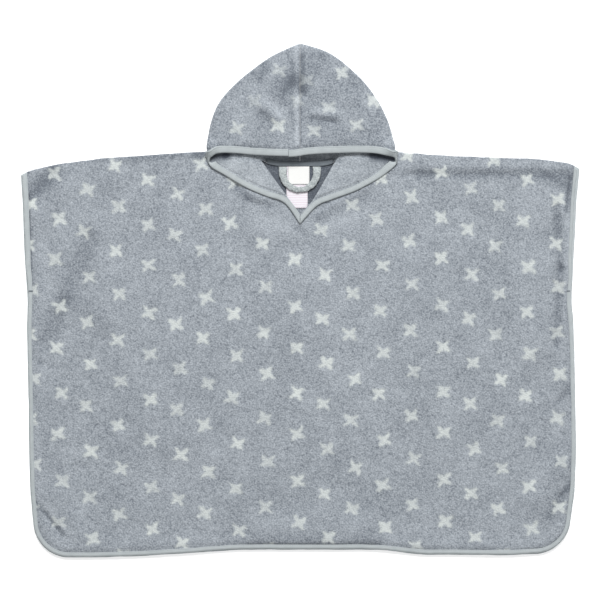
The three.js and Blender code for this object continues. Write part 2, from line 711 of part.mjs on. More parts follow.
function neckTape() {
  const { reach, below, above, half, columns } = NECK_TAPE;
  const { height, from, to } = NECK_TAPE_CLIMB;
  return strip(columns, 2, half, (along, across) => {
    const x = THREE.MathUtils.lerp(-reach, reach, along);
    const y = backNeck(x) - below + (below + above) * across;
    const extra = height * THREE.MathUtils.smoothstep(Math.abs(x), from, to);
    return new THREE.Vector3(x, y, lowerLeafHeight(x, y) + HALF_CLOTH + SEAM_GAP + half + extra);
  });
}

function label({ left, right, bottom, top }, height) {
  return strip(2, 3, LABEL / 2, (along, across) => {
    const x = THREE.MathUtils.lerp(left, right, along);
    const y = THREE.MathUtils.lerp(bottom, top, across);
    return new THREE.Vector3(x, y, height);
  });
}

// The hanging loop: two legs from the neck tape and a half circle over the labels.
function hangingLoop() {
  const { middleX, radius, bendY, topY, half, footShare } = LOOP;
  const { thick, round, rise, steps } = LOOP_WALL;
  const highZ = NECK_LABEL_MIDDLE + LABEL / 2 + SEAM_GAP + thick / 2;
  const stations = [];
  const addStation = (x, y, z, across) => {
    stations.push({ place: new THREE.Vector3(x, y, z), across, normal: UP });
  };
  addStation(middleX - radius, topY, highZ - rise, new THREE.Vector3(1, 0, 0));
  for (let i = 0; i <= steps; i += 1) {
    const turn = Math.PI * (i / steps);
    const outward = new THREE.Vector3(-Math.cos(turn), -Math.sin(turn), 0);
    const x = middleX + radius * outward.x;
    const y = bendY + radius * outward.y;
    const narrow = THREE.MathUtils.lerp(1, footShare, Math.sin(turn));
    addStation(x, y, highZ, outward.clone().multiplyScalar(-narrow));
  }
  addStation(middleX + radius, topY, highZ - rise, new THREE.Vector3(-1, 0, 0));
  const section = [];
  for (const [a, b] of [[1, 1], [-1, 1], [-1, -1], [1, -1]]) {
    const flat = [a * (half - round), b * (thick / 2)];
    const upright = [a * half, b * (thick / 2 - round)];
    section.push(...(a * b > 0 ? [upright, flat] : [flat, upright]));
  }
  return sweep(section, stations, false);
}

const none = () => 0;
const backTrim = { left: none, right: none, hem: 0 };
const frontTrim = {
  left: () => FRONT_TRIM,
  right: (y) => {
    const open = THREE.MathUtils.smoothstep(y, ARMHOLE_FOOT_Y, ARMHOLE_OPEN_Y);
    return THREE.MathUtils.lerp(FRONT_TRIM, RIGHT_ARMHOLE_TRIM, open);
  },
  hem: FRONT_TRIM,
};
const back = bodyPanel(backTrim, backNeck, () => BACK_MIDDLE, TAPE_HALF);
const front = bodyPanel(frontTrim, frontNeck, frontHeight, FRONT_EDGE);
const hoodLeft = hoodHalf("left", -1);
const hoodRight = hoodHalf("right", 1);

const poncho = new THREE.Group();
function addPiece(name, geometry, finish) {
  const piece = new THREE.Mesh(geometry, new THREE.MeshStandardMaterial(finish));
  piece.name = name;
  poncho.add(piece);
}
addPiece("back", back.geometry, TERRY);
addPiece("front", front.geometry, TERRY);
addPiece("hood_left", hoodLeft.geometry, TERRY);
addPiece("hood_right", hoodRight.geometry, TERRY);
addPiece("binding_back", sweep(tapeSection(TAPE_WIDTH), back.rim, false), JERSEY);
addPiece("binding_front", sweep(tapeSection(TAPE_WIDTH), front.rim, false), JERSEY);
addPiece("binding_hood", faceTape(hoodLeft.tape, hoodRight.tape), JERSEY);
addPiece("neck_tape", neckTape(), JERSEY);
addPiece("hanging_loop", hangingLoop(), LOOP_TERRY);
addPiece("label_neck", label(NECK_LABEL, NECK_LABEL_MIDDLE), SATIN);
addPiece("label_care", label(CARE_LABEL, CARE_LABEL_MIDDLE), SATIN);

export default poncho;
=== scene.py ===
# Looks of a hooded bath poncho of terry cloth, laid flat with its front up.
# Sizes are in millimetres, in the frame of the solids: +X right, +Y to the tip of the hood, +Z up.
import math

import bpy
import numpy as np
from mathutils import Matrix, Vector
from mathutils.kdtree import KDTree


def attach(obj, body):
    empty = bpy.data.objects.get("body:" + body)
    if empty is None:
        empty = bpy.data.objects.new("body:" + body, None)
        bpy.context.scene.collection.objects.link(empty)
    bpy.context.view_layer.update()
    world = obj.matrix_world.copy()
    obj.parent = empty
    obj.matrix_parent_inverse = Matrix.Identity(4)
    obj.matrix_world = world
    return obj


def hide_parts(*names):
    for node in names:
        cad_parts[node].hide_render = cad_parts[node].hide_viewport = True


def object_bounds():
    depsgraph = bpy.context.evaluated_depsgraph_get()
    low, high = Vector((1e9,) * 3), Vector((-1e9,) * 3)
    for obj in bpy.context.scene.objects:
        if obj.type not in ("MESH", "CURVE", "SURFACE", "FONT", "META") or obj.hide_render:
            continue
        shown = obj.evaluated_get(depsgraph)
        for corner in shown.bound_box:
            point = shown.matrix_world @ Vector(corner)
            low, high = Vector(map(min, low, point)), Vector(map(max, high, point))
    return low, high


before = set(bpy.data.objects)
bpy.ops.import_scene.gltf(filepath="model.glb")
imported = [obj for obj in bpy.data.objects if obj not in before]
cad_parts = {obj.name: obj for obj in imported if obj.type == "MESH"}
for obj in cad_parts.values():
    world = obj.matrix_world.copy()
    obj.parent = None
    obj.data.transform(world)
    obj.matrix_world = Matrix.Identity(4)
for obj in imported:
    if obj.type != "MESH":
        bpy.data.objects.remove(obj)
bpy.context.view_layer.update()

MM = 0.001


def table(columns, *rows):
    """A short table as one array for each named column."""
    return dict(zip(columns.split(), np.array(rows, float).T))


# Walls, tapes and the gaps at seams.
HALF_CLOTH = 1.25
HALF_PRESSED = 0.5  # half the wall where a tape presses it
SEAM_GAP = 0.3
TAPE = 0.7
TAPE_HALF = 1.6  # half the height of a folded edge tape
TAPE_SLOT = TAPE_HALF - TAPE
TAPE_WIDTH = 8
FACE_TAPE_WIDTH = 10
EDGE_IN = 1  # from the outside of a tape to the edge of the cloth in it
FULL_IN = 8.6  # from the cloth's edge to where a panel's wall is full

# Heights of the middle of each layer.
BACK_MIDDLE = HALF_CLOTH
FRONT_MIDDLE = 3 * HALF_CLOTH + SEAM_GAP
FRONT_EDGE = 3 * TAPE_HALF + SEAM_GAP
LABEL = 0.6
CARE_LABEL_MIDDLE = 2 * HALF_CLOTH + SEAM_GAP + LABEL / 2
NECK_LABEL_MIDDLE = CARE_LABEL_MIDDLE + LABEL + SEAM_GAP
FRONT_OVER_LABEL = CARE_LABEL_MIDDLE + LABEL / 2 + SEAM_GAP + HALF_CLOTH
COLLAR_MIDDLE = FRONT_OVER_LABEL + HALF_CLOTH + SEAM_GAP + TAPE_HALF
COLLAR_LIFT = 0.6
LIP_MIDDLE_Z = 12.6
LIP_RAISED = 5  # how much higher the upper lip stands open between its corners

# Outline of the laid body. Columns left and right are distances from the middle line.
SIDES = table(
    "y left right",
    (190, 400, 400),
    (143, 396.8, 395.5),
    (57, 393.8, 391.5),
    (0, 389.3, 388.5),
    (-40, 390.7, 391.8),
    (-143, 388.2, 394.3),
    (-215, 387.7, 395),
    (-272, 386, 393),
    (-330, 380.6, 385),
)
SHOULDERS = table(
    "x y",
    (-400, 180),
    (-386, 186),
    (-343, 195.5),
    (-285, 203),
    (-142, 213),
    (-64, 213),
    (64, 213),
    (144, 212),
    (215, 206.5),
    (344, 202.5),
    (387, 196),
    (400, 189),
)
HEM = table(
    "x y",
    (-330, -367.8),
    (-285, -367.8),
    (-214, -365),
    (-85, -356.5),
    (115, -356.5),
    (172, -363.5),
    (301, -364.5),
    (336, -362.5),
)
CORNER_RADIUS = 52
COLUMN_REACH = 300  # columns of a panel run straight up as far out as this
NECK_HALF = 64
BACK_NECK_Y = 193
BACK_NECK_RISE = 18
FRONT_NECK = table("x y", (-64, 213), (-18, 147), (0, 123), (20, 145), (50, 197), (64, 213))

# Share of an edge tape's width that the pile of the front leaves in sight.
TAPE_SHOWN = table(
    "y left right",
    (200, 0.95, 0.42),
    (30, 0.88, 0.46),
    (8, 0.62, 0.72),
    (-60, 0.6, 0.6),
    (-330, 0.62, 0.6),
    (-350, 0.72, 0.72),
)

# How far the front's outline lies inside the back's.
FRONT_TRIM = 1.5
RIGHT_ARMHOLE_TRIM = 4.2
ARMHOLE_FOOT_Y = 13
ARMHOLE_OPEN_Y = 73

# Ridges and troughs of the front, each a soft line with a half width and a height.
FRONT_FOLDS = table(
    "x0 y0 x1 y1 width height",
    (-340, 160, -372, 120, 20, 2.8),
    (-342, 95, -340, 0, 18, 2.6),
    (-290, 110, -285, -20, 24, 2.4),
    (348, 150, 344, -70, 22, 3.2),
    (200, 190, 380, 186, 16, 2),
    (340, -285, 372, -235, 20, 2.6),
    (-350, -280, -318, -330, 20, 2.4),
    (-170, 60, -190, -190, 50, 2.4),
    (150, 40, 205, -170, 55, 2.8),
    (5, 20, -25, -230, 45, 2),
    (-60, -325, 95, -325, 24, 2.6),
)
FRONT_CREASES = table(
    "x0 y0 x1 y1 width height",
    (-357, 182, -386, 146, 7, -2.4),
    (-303, 89, -337, 0, 9, -1.8),
    (-352, -18, -366, -62, 9, -1.3),
    (152, 180, 386, 181, 5, -2.2),
    (367, 134, 373, 46, 6, -2.8),
    (373, 46, 367, -63, 6, -2.6),
    (391, -259, 373, -279, 4, -1.5),
    (373, -279, 368, -293, 4, -1.2),
    (388, -123, 369, -144, 4, -1.2),
    (-372, -296, -340, -337, 4, -2.2),
    (-372, -85, -369, -92, 4, -1),
    (-84, 156, -46, 143.5, 6, 2.0),
    (-92, 166, -74, 148, 2.6, -1.8),
    (-72, 139, -41, 137, 3, -1.2),
    (133, 187, 92, 158, 3.2, 1.7),
    (92, 158, 50, 138, 3.2, 1.6),
    (50, 138, 24, 120, 3, 1.3),
    (-8, 106, 7, 97, 3, -0.9),
)

# Painted shade and painted highlight on the front: bands where the cloth is coloured darker in its creases and
# hollows and lighter on its ridges.
FRONT_PAINTED_SHADING = table(
    "x0 y0 x1 y1 width height",
    (172, 182, 385, 181, 8, -0.75),
    (200, 178, 385, 177, 3.5, -0.3),
    (128, 184, 190, 182, 8, -0.4),
    (352, 178, 386, 160, 9, -0.7),
    (366, 140, 373, 46, 6, -0.8),
    (373, 46, 366, -64, 6, -0.75),
    (384, 110, 385, 0, 6, 0.6),
    (386, 176, 381, 130, 3, -1.2),
    (-352, 184, -384, 148, 12, -1.1),
    (-388.5, 150, -384, 20, 2.2, -1.4),
    (-300, 92, -336, 2, 15, -0.7),
    (-338, 0, -368, -64, 12, -0.6),
    (-255, 201, -140, 209, 5, -0.5),
    (-150, 204, -135, 206, 7, -0.8),
    (-372, 100, -360, 20, 9, 0.4),
    (391, -259, 373, -279, 4, -1.15),
    (369, -286, 356, -310, 7, -0.7),
    (388, -123, 369, -144, 6, -0.6),
    (-377, -289, -338, -335, 2.8, -1.15),
    (-368, -288, -332, -329, 5, 0.45),
    (-372, -85, -369, -92, 5, -0.7),
    (-60, -345, 110, -345, 12, -0.5),
    (-95, 166, -74, 146, 5, -1.1),
    (-74, 146, -42, 136, 4, -0.8),
    (92, 150, 30, 118, 7, -0.5),
    (-8, 106, 8, 96, 4, -0.7),
    (-60, 112, -18, 104, 12, 0.5),
    (40, 104, 96, 128, 10, 0.4),
)
# Painted shade and painted highlight on the hood's upper leaf: darker in its dimples and creases, lighter on its
# ridges.
HOOD_PAINTED_SHADING = table(
    "x0 y0 x1 y1 width height",
    (-4, 312, 3, 299, 9, -1.3),
    (-22, 300, -8, 322, 8, -0.7),
    (8, 306, 24, 330, 8, -0.5),
    (-52, 268, -36, 254, 7, -0.7),
    (-44, 282, -26, 268, 7, 0.6),
    (18, 262, 50, 258, 5, -0.9),
    (22, 270, 48, 270, 5, 0.5),
    (-58, 318, -48, 332, 7, -0.6),
    (-44, 322, -36, 340, 6, 0.5),
    (6, 352, 30, 350, 5, -0.6),
    (-5, 362, -4, 225, 3.2, 0.9),
    (3, 352, 4, 318, 2.5, -0.8),
    (1.5, 290, 1.5, 225, 1.8, -0.6),
    (-88, 262, -70, 300, 12, 0.4),
    (76, 250, 60, 300, 14, 0.3),
    (-30, 216, -8, 224, 6, 0.5),
    (16, 216, 28, 250, 8, -0.4),
)
# Painted shade on the inner face of the hood's lower leaf: dark wedges under the corners of the upper lip and a dark
# line above the neck tape, with a little painted light on the collar.
HOOD_INNER_PAINTED_SHADING = table(
    "x0 y0 x1 y1 width height",
    (-128, 205, -106, 207, 7.5, -3),
    (-106, 207, -85, 208, 4, -1.2),
    (134, 201.5, 106, 207, 7.5, -3),
    (108, 207, 90, 208, 4, -1.2),
    (95, 188, 55, 165, 16, -0.45),
    (-50, 202, 50, 202, 2.5, -1.2),
    (-92, 188, -55, 165, 16, 0.5),
    (-100, 192, -112, 190, 8, 0.3),
)

# Hood: its folded outline, its bound lips and the seam to the neck.
HOOD_TIP_Y = 367.8
CROWN = table(
    "y left right",
    (367.8, 0, 0),
    (358, 23, 33),
    (344, 49, 57),
    (315, 86.6, 89.4),
    (286, 113.8, 111),
    (257.6, 126.6, 125.2),
    (229, 132.4, 133.8),
    (212, 133.8, 138),
    (201, 133, 140.3),
)
UPPER_LIP = table(
    "left lefty right righty",
    (0, 208, 0, 208),
    (16, 207, 17, 210),
    (61, 208.5, 69, 212),
    (98, 211.6, 104, 211.4),
    (118, 211, 122, 208.4),
)
LOWER_LIP = table(
    "left lefty right righty",
    (124.5, 190, 132, 190.3),
    (106, 179.3, 111.5, 175),
    (76.5, 162, 80, 158),
    (48, 150, 45.5, 145.5),
    (21, 139.5, 23, 135.5),
    (0, 110.6, 0, 110.6),
)
HOOD_SEAM = table(
    "left lefty right righty",
    (62, 209, 62, 211),
    (41, 179.5, 49, 196),
    (17.5, 146.5, 20, 145),
    (0, 123.4, 0, 123.4),
)
HOOD_CREASES = table(
    "x0 y0 x1 y1 width height",
    (0, 316, 1, 296, 9, -2.8),
    (-57, 279, -34, 258, 8, 2.4),
    (-50, 266, -38, 252, 7, -1.2),
    (18, 268, 52, 263, 7, 2.0),
    (20, 259, 50, 255, 5, -1.0),
    (-54, 322, -40, 338, 9, 1.6),
    (-60, 314, -50, 330, 6, -0.9),
    (-95, 250, -70, 232, 14, 1.4),
    (70, 290, 96, 250, 14, 1.3),
    (8, 346, 28, 352, 5, 1.2),
)
HUB_RISE = 6
HOOD_SEAM_GAP = 0.45
HOOD_SEAM_LAP = 1.5  # where the lower leaf has climbed over the back
SEAM_REACH = 0.97
FOLD_RADIUS = 2.2
CORNER_FOLD_RADIUS = 3
CORNER_TURN = {"in": 1.3, "out": 1.7, "down": 4.5, "up": 4.5}  # from a corner's fold to the leaf below and above it
CLIMB = {"foot_y": 240, "top_y": 216, "inner_x": 46, "outer_x": 57}


# Numbers and curves.
def smoothstep(value, start, end):
    share = np.clip((value - start) / (end - start), 0, 1)
    return share * share * (3 - 2 * share)


def mix(low, high, share):
    return low + (high - low) * share


def unit(vectors):
    length = np.linalg.norm(vectors, axis=-1, keepdims=True)
    return vectors / np.maximum(length, 1e-9)


def lookup(rows, key, place, column, soft=0):
    """A column's value at a place along the key column, with the corners rounded over soft."""
    order = np.argsort(rows[key])
    offsets = np.linspace(-soft, soft, 9)
    values = [np.interp(place + offset, rows[key][order], rows[column][order]) for offset in offsets]
    return np.mean(values, axis=0)


def curve(points, shares):
    """Places at even shares of the length along a smooth curve through a few points."""
    points = np.array(points, float)
    padded = np.vstack([points[:1], points, points[-1:]])
    along = np.linspace(0, len(points) - 1, 600)
    first = np.minimum(along.astype(int), len(points) - 2)
    part = (along - first)[:, None]
    before, start, end, after = (padded[first + k] for k in range(4))
    out, into = (end - before) / 2, (after - start) / 2
    fine = (2 * start - 2 * end + out + into) * part**3
    fine += (-3 * start + 3 * end - 2 * out - into) * part**2 + out * part + start
    length = np.r_[0, np.cumsum(np.linalg.norm(np.diff(fine, axis=0), axis=1))]
    at = np.asarray(shares) * length[-1]
    return np.stack([np.interp(at, length, fine[:, k]) for k in range(fine.shape[1])], axis=1)


def lumps(x, y, size, seed):
    """Smooth noise from -1 to 1 whose lumps have about that size."""
    cells = 97
    lattice = np.random.RandomState(seed).uniform(-1, 1, (cells, cells))
    i, j = np.floor(x / size).astype(int), np.floor(y / size).astype(int)
    s, t = smoothstep(x / size - i, 0, 1), smoothstep(y / size - j, 0, 1)
    low = mix(lattice[i % cells, j % cells], lattice[(i + 1) % cells, j % cells], s)
    high = mix(lattice[i % cells, (j + 1) % cells], lattice[(i + 1) % cells, (j + 1) % cells], s)
    return mix(low, high, t)


def relief(rows, x, y):
    """Sum of soft ridges: each is highest on its line and fades over its width."""
    total = np.zeros_like(x)
    for x0, y0, x1, y1, width, height in zip(*rows.values()):
        along = np.array([x1 - x0, y1 - y0])
        share = ((x - x0) * along[0] + (y - y0) * along[1]) / (along @ along)
        near = np.clip(share, 0, 1)
        away = np.hypot(x - x0 - near * along[0], y - y0 - near * along[1])
        total += height * np.exp(-((away / width) ** 2))
    return total


def distance_to(points, line):
    """Distance from each point to the nearest of a line's points."""
    tree = KDTree(len(line))
    for i, place in enumerate(line):
        tree.insert((*place, 0)[:3], i)
    tree.balance()
    return np.array([tree.find((*place, 0)[:3])[2] for place in points])


# Meshes.
def grid_faces(index):
    """Faces between the neighbours in a grid of point numbers."""
    corners = [index[:-1, :-1], index[1:, :-1], index[1:, 1:], index[:-1, 1:]]
    return np.stack(corners, axis=-1).reshape(-1, 4)


def normals_of(points, faces):
    a, b, c, d = (points[faces[:, k]] for k in range(4))
    across = np.cross(c - a, d - b)
    total = np.zeros_like(points)
    for k in range(4):
        np.add.at(total, faces[:, k], across)
    return unit(total)


def shell(points, faces, directions, up, down):
    """A closed wall: up and down are its thickness on the two sides of a middle surface."""
    count = len(points)
    edges = np.concatenate([faces[:, [k, (k + 1) % 4]] for k in range(4)])
    edges = edges[edges[:, 0] != edges[:, 1]]
    there = edges[:, 0] * count + edges[:, 1]
    back_again = edges[:, 1] * count + edges[:, 0]
    rim = edges[~np.isin(there, back_again)]
    side = np.stack([rim[:, 0] + count, rim[:, 1] + count, rim[:, 1], rim[:, 0]], axis=1)
    walls = np.vstack([points + directions * up[:, None], points - directions * down[:, None]])
    return walls, np.vstack([faces, faces[:, ::-1] + count, side])


def add_mesh(name, points, faces, material):
    """A smooth mesh object from points in millimetres. Corners that coincide are dropped."""
    mesh = bpy.data.meshes.new(name)
    corners = [tuple(dict.fromkeys(face)) for face in np.asarray(faces).tolist()]
    mesh.from_pydata((points * MM).tolist(), [], [face for face in corners if len(face) > 2])
    mesh.validate()
    mesh.shade_smooth()
    obj = bpy.data.objects.new(name, mesh)
    bpy.context.scene.collection.objects.link(obj)
    obj.data.materials.append(material)
    return obj


def corner_places(mesh):
    """Vertex number of each face corner, and the number of the face that it belongs to."""
    vertex = np.zeros(len(mesh.loops), int)
    mesh.loops.foreach_get("vertex_index", vertex)
    total = np.zeros(len(mesh.polygons), int)
    mesh.polygons.foreach_get("loop_total", total)
    return vertex, np.repeat(np.arange(len(total)), total)


def vertex_places(mesh):
    place = np.zeros(len(mesh.vertices) * 3)
    mesh.vertices.foreach_get("co", place)
    return place.reshape(-1, 3) / MM


# Stars of the terry. One repeat of the cloth holds five columns of four stars.
STAR_REPEAT = table(
    "x y",
    (-349, 200),
    (-342.5, 135),
    (-348.5, 77),
    (-343, 9),
    (-304.5, 233),
    (-301, 173),
    (-308, 114),
    (-301, 48),
    (-262, 205),
    (-258, 146),
    (-262, 83),
    (-258.5, 21),
    (-216, 241),
    (-215, 181.5),
    (-215.5, 117),
    (-216, 59),
    (-178, 222),
    (-173, 159),
    (-178, 100.5),
    (-173, 36),
)
REPEAT_WIDTH = 209.5
REPEAT_HEIGHT = 249.4
STAR_LEAN = -0.0129  # the columns lean a little, and the rows rise and sink in a shallow bow
STAR_RISE = 0.0249
STAR_BOW = -0.0000797
STAR_REACH = (15.3, 13.8)  # across and up
HOOD_STARS = table(
    "x y shown",
    (-30, 329, 0.55),
    (59.5, 325, 0.9),
    (9.5, 315, 0.3),
    (-65, 285, 0.35),
    (-3.5, 285, 0.45),
    (41, 276, 0.55),
    (105, 286, 0.9),
    (-89.5, 246, 0.75),
    (-31, 249, 0.9),
    (19.5, 242, 0.7),
    (81, 250.5, 0.85),
)


# No star shows here: beside the neck, and where the shoulder seams take one in.
PLAIN_SPOTS = table(
    "x y radius",
    (-49, 143, 22),
    (-9, 117, 22),
    (-181, 215, 12),
    (364, 203, 15),
)


def body_stars():
    """Centres of the stars all over the body."""
    places = []
    for tile in range(-1, 5):
        for row in range(-1, 4):
            y = STAR_REPEAT["y"] - REPEAT_HEIGHT * row
            x = STAR_REPEAT["x"] + REPEAT_WIDTH * tile
            y = y + STAR_RISE * x + STAR_BOW * x**2
            places.append(np.c_[x + STAR_LEAN * y, y])
    places = np.vstack(places)
    for x, y, radius in zip(*PLAIN_SPOTS.values()):
        places = places[np.hypot(places[:, 0] - x, places[:, 1] - y) > radius]
    return places


def add_stars(obj, centres, shown, count, seed):
    """Gives each outer face the place of its nearest star, as shares of the star's reach."""
    mesh = obj.data
    vertex, face = corner_places(mesh)
    place = vertex_places(mesh)[vertex, :2]
    faces = len(mesh.polygons)
    corners = np.bincount(face, minlength=faces)
    middle = np.stack([np.bincount(face, place[:, k], faces) / corners for k in range(2)], axis=1)
    inner = np.bincount(face, vertex >= count, faces) > 0
    tree = KDTree(len(centres))
    for i, centre in enumerate(centres):
        tree.insert((*centre, 0), i)
    tree.balance()
    nearest = np.array([tree.find((*point, 0))[1] for point in middle])
    random = np.random.RandomState(seed)
    turn = np.radians(random.uniform(-15, 15, len(centres)))[nearest][face]
    reach = (np.array(STAR_REACH) * random.uniform(0.92, 1.08, (len(centres), 2)))[nearest][face]
    away = place - centres[nearest][face]
    local = np.c_[
        away[:, 0] * np.cos(turn) + away[:, 1] * np.sin(turn),
        away[:, 1] * np.cos(turn) - away[:, 0] * np.sin(turn),
    ] / reach
    local[inner[face]] = 9
    layer = mesh.uv_layers.new(name="star")
    layer.data.foreach_set("uv", local.ravel())
    layer = mesh.attributes.new("star_shown", "FLOAT", "CORNER")
    layer.data.foreach_set("value", (shown * random.uniform(0.85, 1.1, len(centres)))[nearest][face])


def add_tone_and_painted_shade(obj, values):
    """Gives each point of the cloth how much lighter or darker it is painted: random pile tone, painted shade and
    painted highlight.
    """
    layer = obj.data.attributes.new("tone", "FLOAT", "POINT")
    layer.data.foreach_set("value", values)


# Materials.
def new_material(name, roughness, **settings):
    """A material with one shader, whose even values are set on the shader itself."""
    material = bpy.data.materials.new(name)
    material.use_nodes = True
    tree = material.node_tree
    tree.nodes.clear()
    output = tree.nodes.new("ShaderNodeOutputMaterial")
    shader = tree.nodes.new("ShaderNodeBsdfPrincipled")
    tree.links.new(shader.outputs["BSDF"], output.inputs["Surface"])
    shader.inputs["Roughness"].default_value = roughness
    for name_, value in settings.items():
        shader.inputs[name_.replace("_", " ")].default_value = value
    return material, tree, shader


def node(tree, kind, inputs=None, **settings):
    """Adds a node: inputs are values or the sockets that feed them."""
    made = tree.nodes.new("ShaderNode" + kind)
    for key, value in settings.items():
        setattr(made, key, value)
    for key, value in (inputs or {}).items():
        if isinstance(value, bpy.types.NodeSocket):
            tree.links.new(value, made.inputs[key])
        else:
            made.inputs[key].default_value = value
    return made


def calc(tree, operation, first, second=0.0, third=0.0):
    inputs = {0: first, 1: second, 2: third}
    return node(tree, "Math", inputs, operation=operation).outputs[0]


def noise(tree, where, size, detail=2.0, roughness=0.5):
    """Noise whose grains have about that size in millimetres, from 0 to 1."""
    inputs = {"Vector": where, "Scale": 1 / (size * MM), "Detail": detail, "Roughness": roughness}
    return node(tree, "TexNoise", inputs).outputs[0]


def blend_colours(tree, share, first, second):
    made = node(tree, "Mix", data_type="RGBA")
    for socket, value in ((made.inputs[0], share), (made.inputs[6], first), (made.inputs[7], second)):
        if isinstance(value, bpy.types.NodeSocket):
            tree.links.new(value, socket)
        else:
            socket.default_value = value
    return made.outputs[2]


def linear(red, green, blue):
    """A colour given as 0 to 255 on a screen, as the renderer's own values."""
    values = []
    for value in (red, green, blue):
        share = value / 255
        values.append(share / 12.92 if share < 0.04045 else ((share + 0.055) / 1.055) ** 2.4)
    return (*values, 1)


def set_bump(tree, shader, height, distance, strength):
    inputs = {"Height": height, "Distance": distance * MM, "Strength": strength}
    bump = node(tree, "Bump", inputs)
    tree.links.new(bump.outputs["Normal"], shader.inputs["Normal"])


def star_mask(tree, where):
    """1 on a star with four tapered arms and 0 off it. The pile makes its outline ragged."""
    flat = node(tree, "UVMap", uv_map="star").outputs[0]
    ragged = node(tree, "TexNoise", {"Vector": where, "Scale": 1 / (8 * MM), "Detail": 3.0}).outputs[1]
    moved = node(tree, "VectorMath", {0: ragged, 1: (0.5, 0.5, 0.5)}, operation="SUBTRACT").outputs[0]
    moved = node(tree, "VectorMath", {0: moved, "Scale": 0.6}, operation="SCALE").outputs[0]
    flat = node(tree, "VectorMath", {0: flat, 1: moved}, operation="ADD").outputs[0]
    parts = node(tree, "SeparateXYZ", {0: flat}).outputs
    slanted = []
    for operation in ("ADD", "SUBTRACT"):
        along = calc(tree, "MULTIPLY", calc(tree, operation, parts[0], parts[1]), math.sqrt(0.5))
        slanted.append(calc(tree, "ABSOLUTE", along))
    reach = calc(tree, "MAXIMUM", *slanted)
    beside = calc(tree, "MINIMUM", *slanted)
    left = calc(tree, "MAXIMUM", calc(tree, "SUBTRACT", 1.0, reach), 0.0)
    half_arm = calc(tree, "MULTIPLY", calc(tree, "POWER", left, 0.42), 0.35)
    inputs = {"Value": calc(tree, "SUBTRACT", half_arm, beside), "From Min": -0.08, "From Max": 0.22}
    edge = node(tree, "MapRange", inputs, interpolation_type="SMOOTHSTEP").outputs[0]
    inputs = {"Value": left, "From Min": 0.0, "From Max": 0.35, "To Min": 0.0}
    faded = node(tree, "MapRange", inputs).outputs[0]
    return calc(tree, "MULTIPLY", edge, faded)


TONE_SHARE = 0.34
# Colour of painted deep shade, for the most deeply shaded places.
PAINTED_DEEP_SHADE = linear(34, 40, 54)
NECK_SHADE = 1.9  # painted shade: how much darker the cloth is coloured inside the neck, and in the hollow of the hood
HOLLOW_SHADE = 0.6
# Painted shade on the hood's upper leaf, which faces the light more than the body does.
HOOD_SHADE = 0.4


def terry_material(name, light, dark, star=None):
    """Looped pile: tufts with darker gaps, patches where the pile lies another way, painted shade and highlight from
    the tone attribute, and stars.
    """
    material, tree, shader = new_material(
        name, 0.95, Sheen_Weight=0.25, Sheen_Roughness=0.5, Specular_IOR_Level=0.15
    )
    where = node(tree, "TexCoord").outputs["Object"]
    fine = noise(tree, where, 2.2, 3.0, 0.65)
    coarse = noise(tree, where, 7, 2.0)
    patches = noise(tree, where, 38, 3.0, 0.6)
    tufts = node(
        tree, "TexVoronoi", {"Vector": where, "Scale": 1 / (2.4 * MM), "Randomness": 1.0}
    ).outputs["Distance"]
    pile = calc(tree, "MULTIPLY_ADD", fine, 1.5, calc(tree, "MULTIPLY", tufts, -0.55))
    pile = calc(tree, "MULTIPLY_ADD", coarse, 0.45, pile)
    pile = calc(tree, "MULTIPLY_ADD", patches, 0.5, pile)
    # Painted shade and painted highlight, with some random pile tone, come in through the tone attribute.
    tone = node(tree, "Attribute", attribute_name="tone").outputs["Fac"]
    pile = calc(tree, "MULTIPLY_ADD", calc(tree, "MAXIMUM", tone, -1.2), TONE_SHARE, pile)
    share = node(
        tree, "MapRange", {"Value": pile, "From Min": 0.45, "From Max": 1.5}
    ).outputs[0]
    colour = blend_colours(tree, share, dark, light)
    # Tones below -1 blend into the colour of painted deep shade.
    inputs = {"Value": tone, "From Min": -1.0, "From Max": -3.0, "To Max": 0.85}
    colour = blend_colours(tree, node(tree, "MapRange", inputs).outputs[0], colour, PAINTED_DEEP_SHADE)
    if star is not None:
        inside = calc(tree, "MULTIPLY_ADD", fine, 0.7, calc(tree, "MULTIPLY_ADD", patches, 0.9, -0.05))
        shown = node(tree, "Attribute", attribute_name="star_shown").outputs["Fac"]
        shown = calc(tree, "MULTIPLY", calc(tree, "MULTIPLY", star_mask(tree, where), inside), shown)
        colour = blend_colours(tree, shown, colour, star)
    tree.links.new(colour, shader.inputs["Base Color"])
    height = calc(tree, "MULTIPLY_ADD", tufts, -0.6, calc(tree, "MULTIPLY", fine, 1.0))
    height = calc(tree, "MULTIPLY_ADD", coarse, 0.8, height)
    set_bump(tree, shader, height, 0.9, 0.8)
    return material


def jersey_material(name, light, dark):
    """Knitted tape: fine ribs along it, from its own map of millimetres along and across."""
    material, tree, shader = new_material(name, 0.8, Sheen_Weight=0.15, Specular_IOR_Level=0.25)
    where = node(tree, "UVMap", uv_map="tape").outputs[0]
    parts = node(tree, "SeparateXYZ", {0: where}).outputs
    rib = calc(tree, "SINE", calc(tree, "MULTIPLY", parts[1], 2 * math.pi / 1.1))
    loops = calc(tree, "SINE", calc(tree, "MULTIPLY", parts[0], 2 * math.pi / 1.4))
    knit = calc(tree, "MULTIPLY_ADD", rib, 0.5, calc(tree, "MULTIPLY", loops, 0.25))
    space = node(tree, "TexCoord").outputs["Object"]
    wear = noise(tree, space, 9, 3.0)
    grain = noise(tree, space, 1.3, 2.0)
    tone = calc(tree, "MULTIPLY_ADD", knit, 0.16, calc(tree, "MULTIPLY_ADD", wear, 0.7, 0.15))
    tone = calc(tree, "MULTIPLY_ADD", grain, 0.25, calc(tree, "SUBTRACT", tone, 0.12))
    tree.links.new(blend_colours(tree, tone, dark, light), shader.inputs["Base Color"])
    set_bump(tree, shader, calc(tree, "ADD", knit, grain), 0.18, 0.6)
    return material


